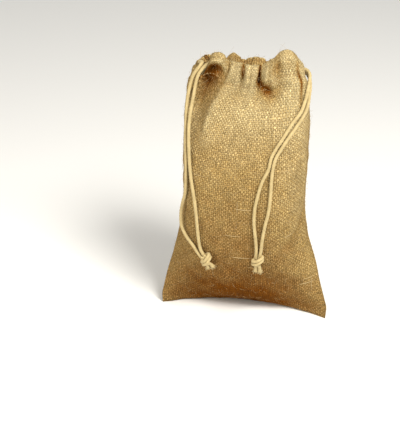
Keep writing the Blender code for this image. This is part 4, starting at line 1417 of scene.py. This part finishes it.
finishes = {"burlap": burlap_material()}
print("nodes in the burlap:", len(finishes["burlap"].node_tree.nodes))

# %% [markdown]
# ### Cords and loose jute
# The cords, the thread, the slubs and the loose fibres are all bundles of fibres, and differ in
# colour, fineness and twist. So one recipe does for them: noise that is drawn out along the piece,
# and that leans across it as far as the fibres are twisted.

# %% Fibrous finishes
STRAND_STRETCH = 0.12
STRAND_STRENGTH = 1.6
PATCH_NOISE = (4.0, 130.0, 2.0)
PATCH_STRENGTH = 0.9
LIGHT_SHARE = 0.62
FIBROUS_ROUGHNESS = 0.78
FIBROUS_SHEEN = (0.06, 0.45)
CORD_LIGHT = (0.54, 0.425, 0.205, 1)
CORD_SHADE = (0.31, 0.225, 0.09, 1)
JUTE_PALE = (0.50, 0.37, 0.17, 1)
JUTE_BROWN = (0.36, 0.22, 0.09, 1)
THREAD_COLOUR = (0.27, 0.17, 0.06, 1)
# name, light, shade, how far the fibres lean, their scale, and how deep they are
FIBROUS = {
    "cord": ("cotton cord", CORD_LIGHT, CORD_SHADE, 0.9, 2400.0, 0.12 * MM),
    "slub": ("pale jute", JUTE_PALE, THREAD_COLOUR, 0.3, 2600.0, 0.1 * MM),
    "fibre": ("jute fibre", JUTE_PALE, JUTE_BROWN, 0.0, 900.0, 0.02 * MM),
    "thread": ("jute thread", THREAD_COLOUR, JUTE_BROWN, 0.5, 2600.0, 0.08 * MM),
}


def fibrous_material(name, light, dark, lean, fine_scale, relief):
    """Yarn of fine fibres that run along it, leaning with its twist."""
    made, tree, shader = new_material(name)
    u, v = flat_signals(tree)
    run = v + u * lean
    strands = noise(tree, u, run * STRAND_STRETCH, scale=fine_scale, detail=3.0)
    patches = noise(tree, u, v, *PATCH_NOISE)
    share = (strands - 0.5) * STRAND_STRENGTH + (patches - 0.5) * PATCH_STRENGTH + LIGHT_SHARE
    colour = blended(tree, share.clamped(), dark, light)
    tree.links.new(colour.socket, shader.inputs["Base Color"])
    shader.inputs["Roughness"].default_value = FIBROUS_ROUGHNESS
    shader.inputs["Sheen Weight"].default_value = FIBROUS_SHEEN[0]
    shader.inputs["Sheen Roughness"].default_value = FIBROUS_SHEEN[1]
    add_bump(tree, shader, strands, relief)
    return made


for finish, values in FIBROUS.items():
    finishes[finish] = fibrous_material(*values)
print("materials:", ", ".join(finishes))

# %% [markdown]
# ## Putting the pieces on the model
# Each piece rides on the model's only body, takes the place of the plain part it was built over,
# and gets its material.

# %% Riding and replacing
pieces = [(sack, "burlap", "burlap"), (stitches, "thread", "burlap"), (slubs, "slub", "burlap"),
          (fibres, "fibre", "burlap")]
pieces += [(piece, "cord", "cord") for piece in (*cords.values(), *casing_cords.values(), *knots.values())]
for piece, finish, slot in pieces:
    piece.data.materials.clear()
    piece.data.materials.append(finishes[finish])
    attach(piece, "root")

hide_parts("sack")
for side, piece in casing_cords.items():
    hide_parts("string_" + side + "_casing")
for side, piece in knots.items():
    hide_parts("knot_" + side)
for name, piece in cords.items():
    path, length = cord_paths[name]
    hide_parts("string_" + name)
print("pieces on the model:", len(pieces))

# %% [markdown]
# ## Floor and light
# A plain pale floor and soft studio light leave the folds to do the drawing. The key light stands
# high at the right of the front, so that every fold has a dark side on its left. A larger, warmer
# fill light at the left keeps those sides brown and not grey.

# %% Floor
FLOOR_SIZE = 6.0
FLOOR_COLOUR = (0.86, 0.86, 0.84, 1)
FLOOR_ROUGHNESS = 0.9

bpy.ops.mesh.primitive_plane_add(size=FLOOR_SIZE, location=(0, 0, 0))
floor = bpy.context.active_object
floor.name = "floor"
floor_material, _, floor_shader = new_material("pale floor")
floor_shader.inputs["Base Color"].default_value = FLOOR_COLOUR
floor_shader.inputs["Roughness"].default_value = FLOOR_ROUGHNESS
floor.data.materials.append(floor_material)
print("floor:", FLOOR_SIZE, "m wide")

# %% Lamps and sky
SACK_TOP = Vector((0.0, 0.0, 0.20))
# name, place, size, power and colour of each lamp
LAMPS = (
    ("key", (0.50, -0.52, 0.98), 0.40, 18.2, (1.0, 0.97, 0.92)),
    ("fill", (-0.9, -0.8, 0.6), 0.9, 7.6, (1.0, 0.91, 0.78)),
)
SKY_COLOUR = (1.0, 0.99, 0.97, 1)
SKY_STRENGTH = 0.50

for name, place, size, power, colour in LAMPS:
    bpy.ops.object.light_add(type="AREA", location=place)
    lamp = bpy.context.active_object
    lamp.name = name
    lamp.data.size = size
    lamp.data.energy = power
    lamp.data.color = colour
    lamp.rotation_euler = (SACK_TOP - Vector(place)).to_track_quat("-Z", "Y").to_euler()
    print("lamp", name, power, "W")

world = bpy.data.worlds.new("studio")
world.use_nodes = True
sky = world.node_tree.nodes["Background"]
sky.inputs["Color"].default_value = SKY_COLOUR
sky.inputs["Strength"].default_value = SKY_STRENGTH
bpy.context.scene.world = world
bpy.context.scene.view_settings.view_transform = "Standard"
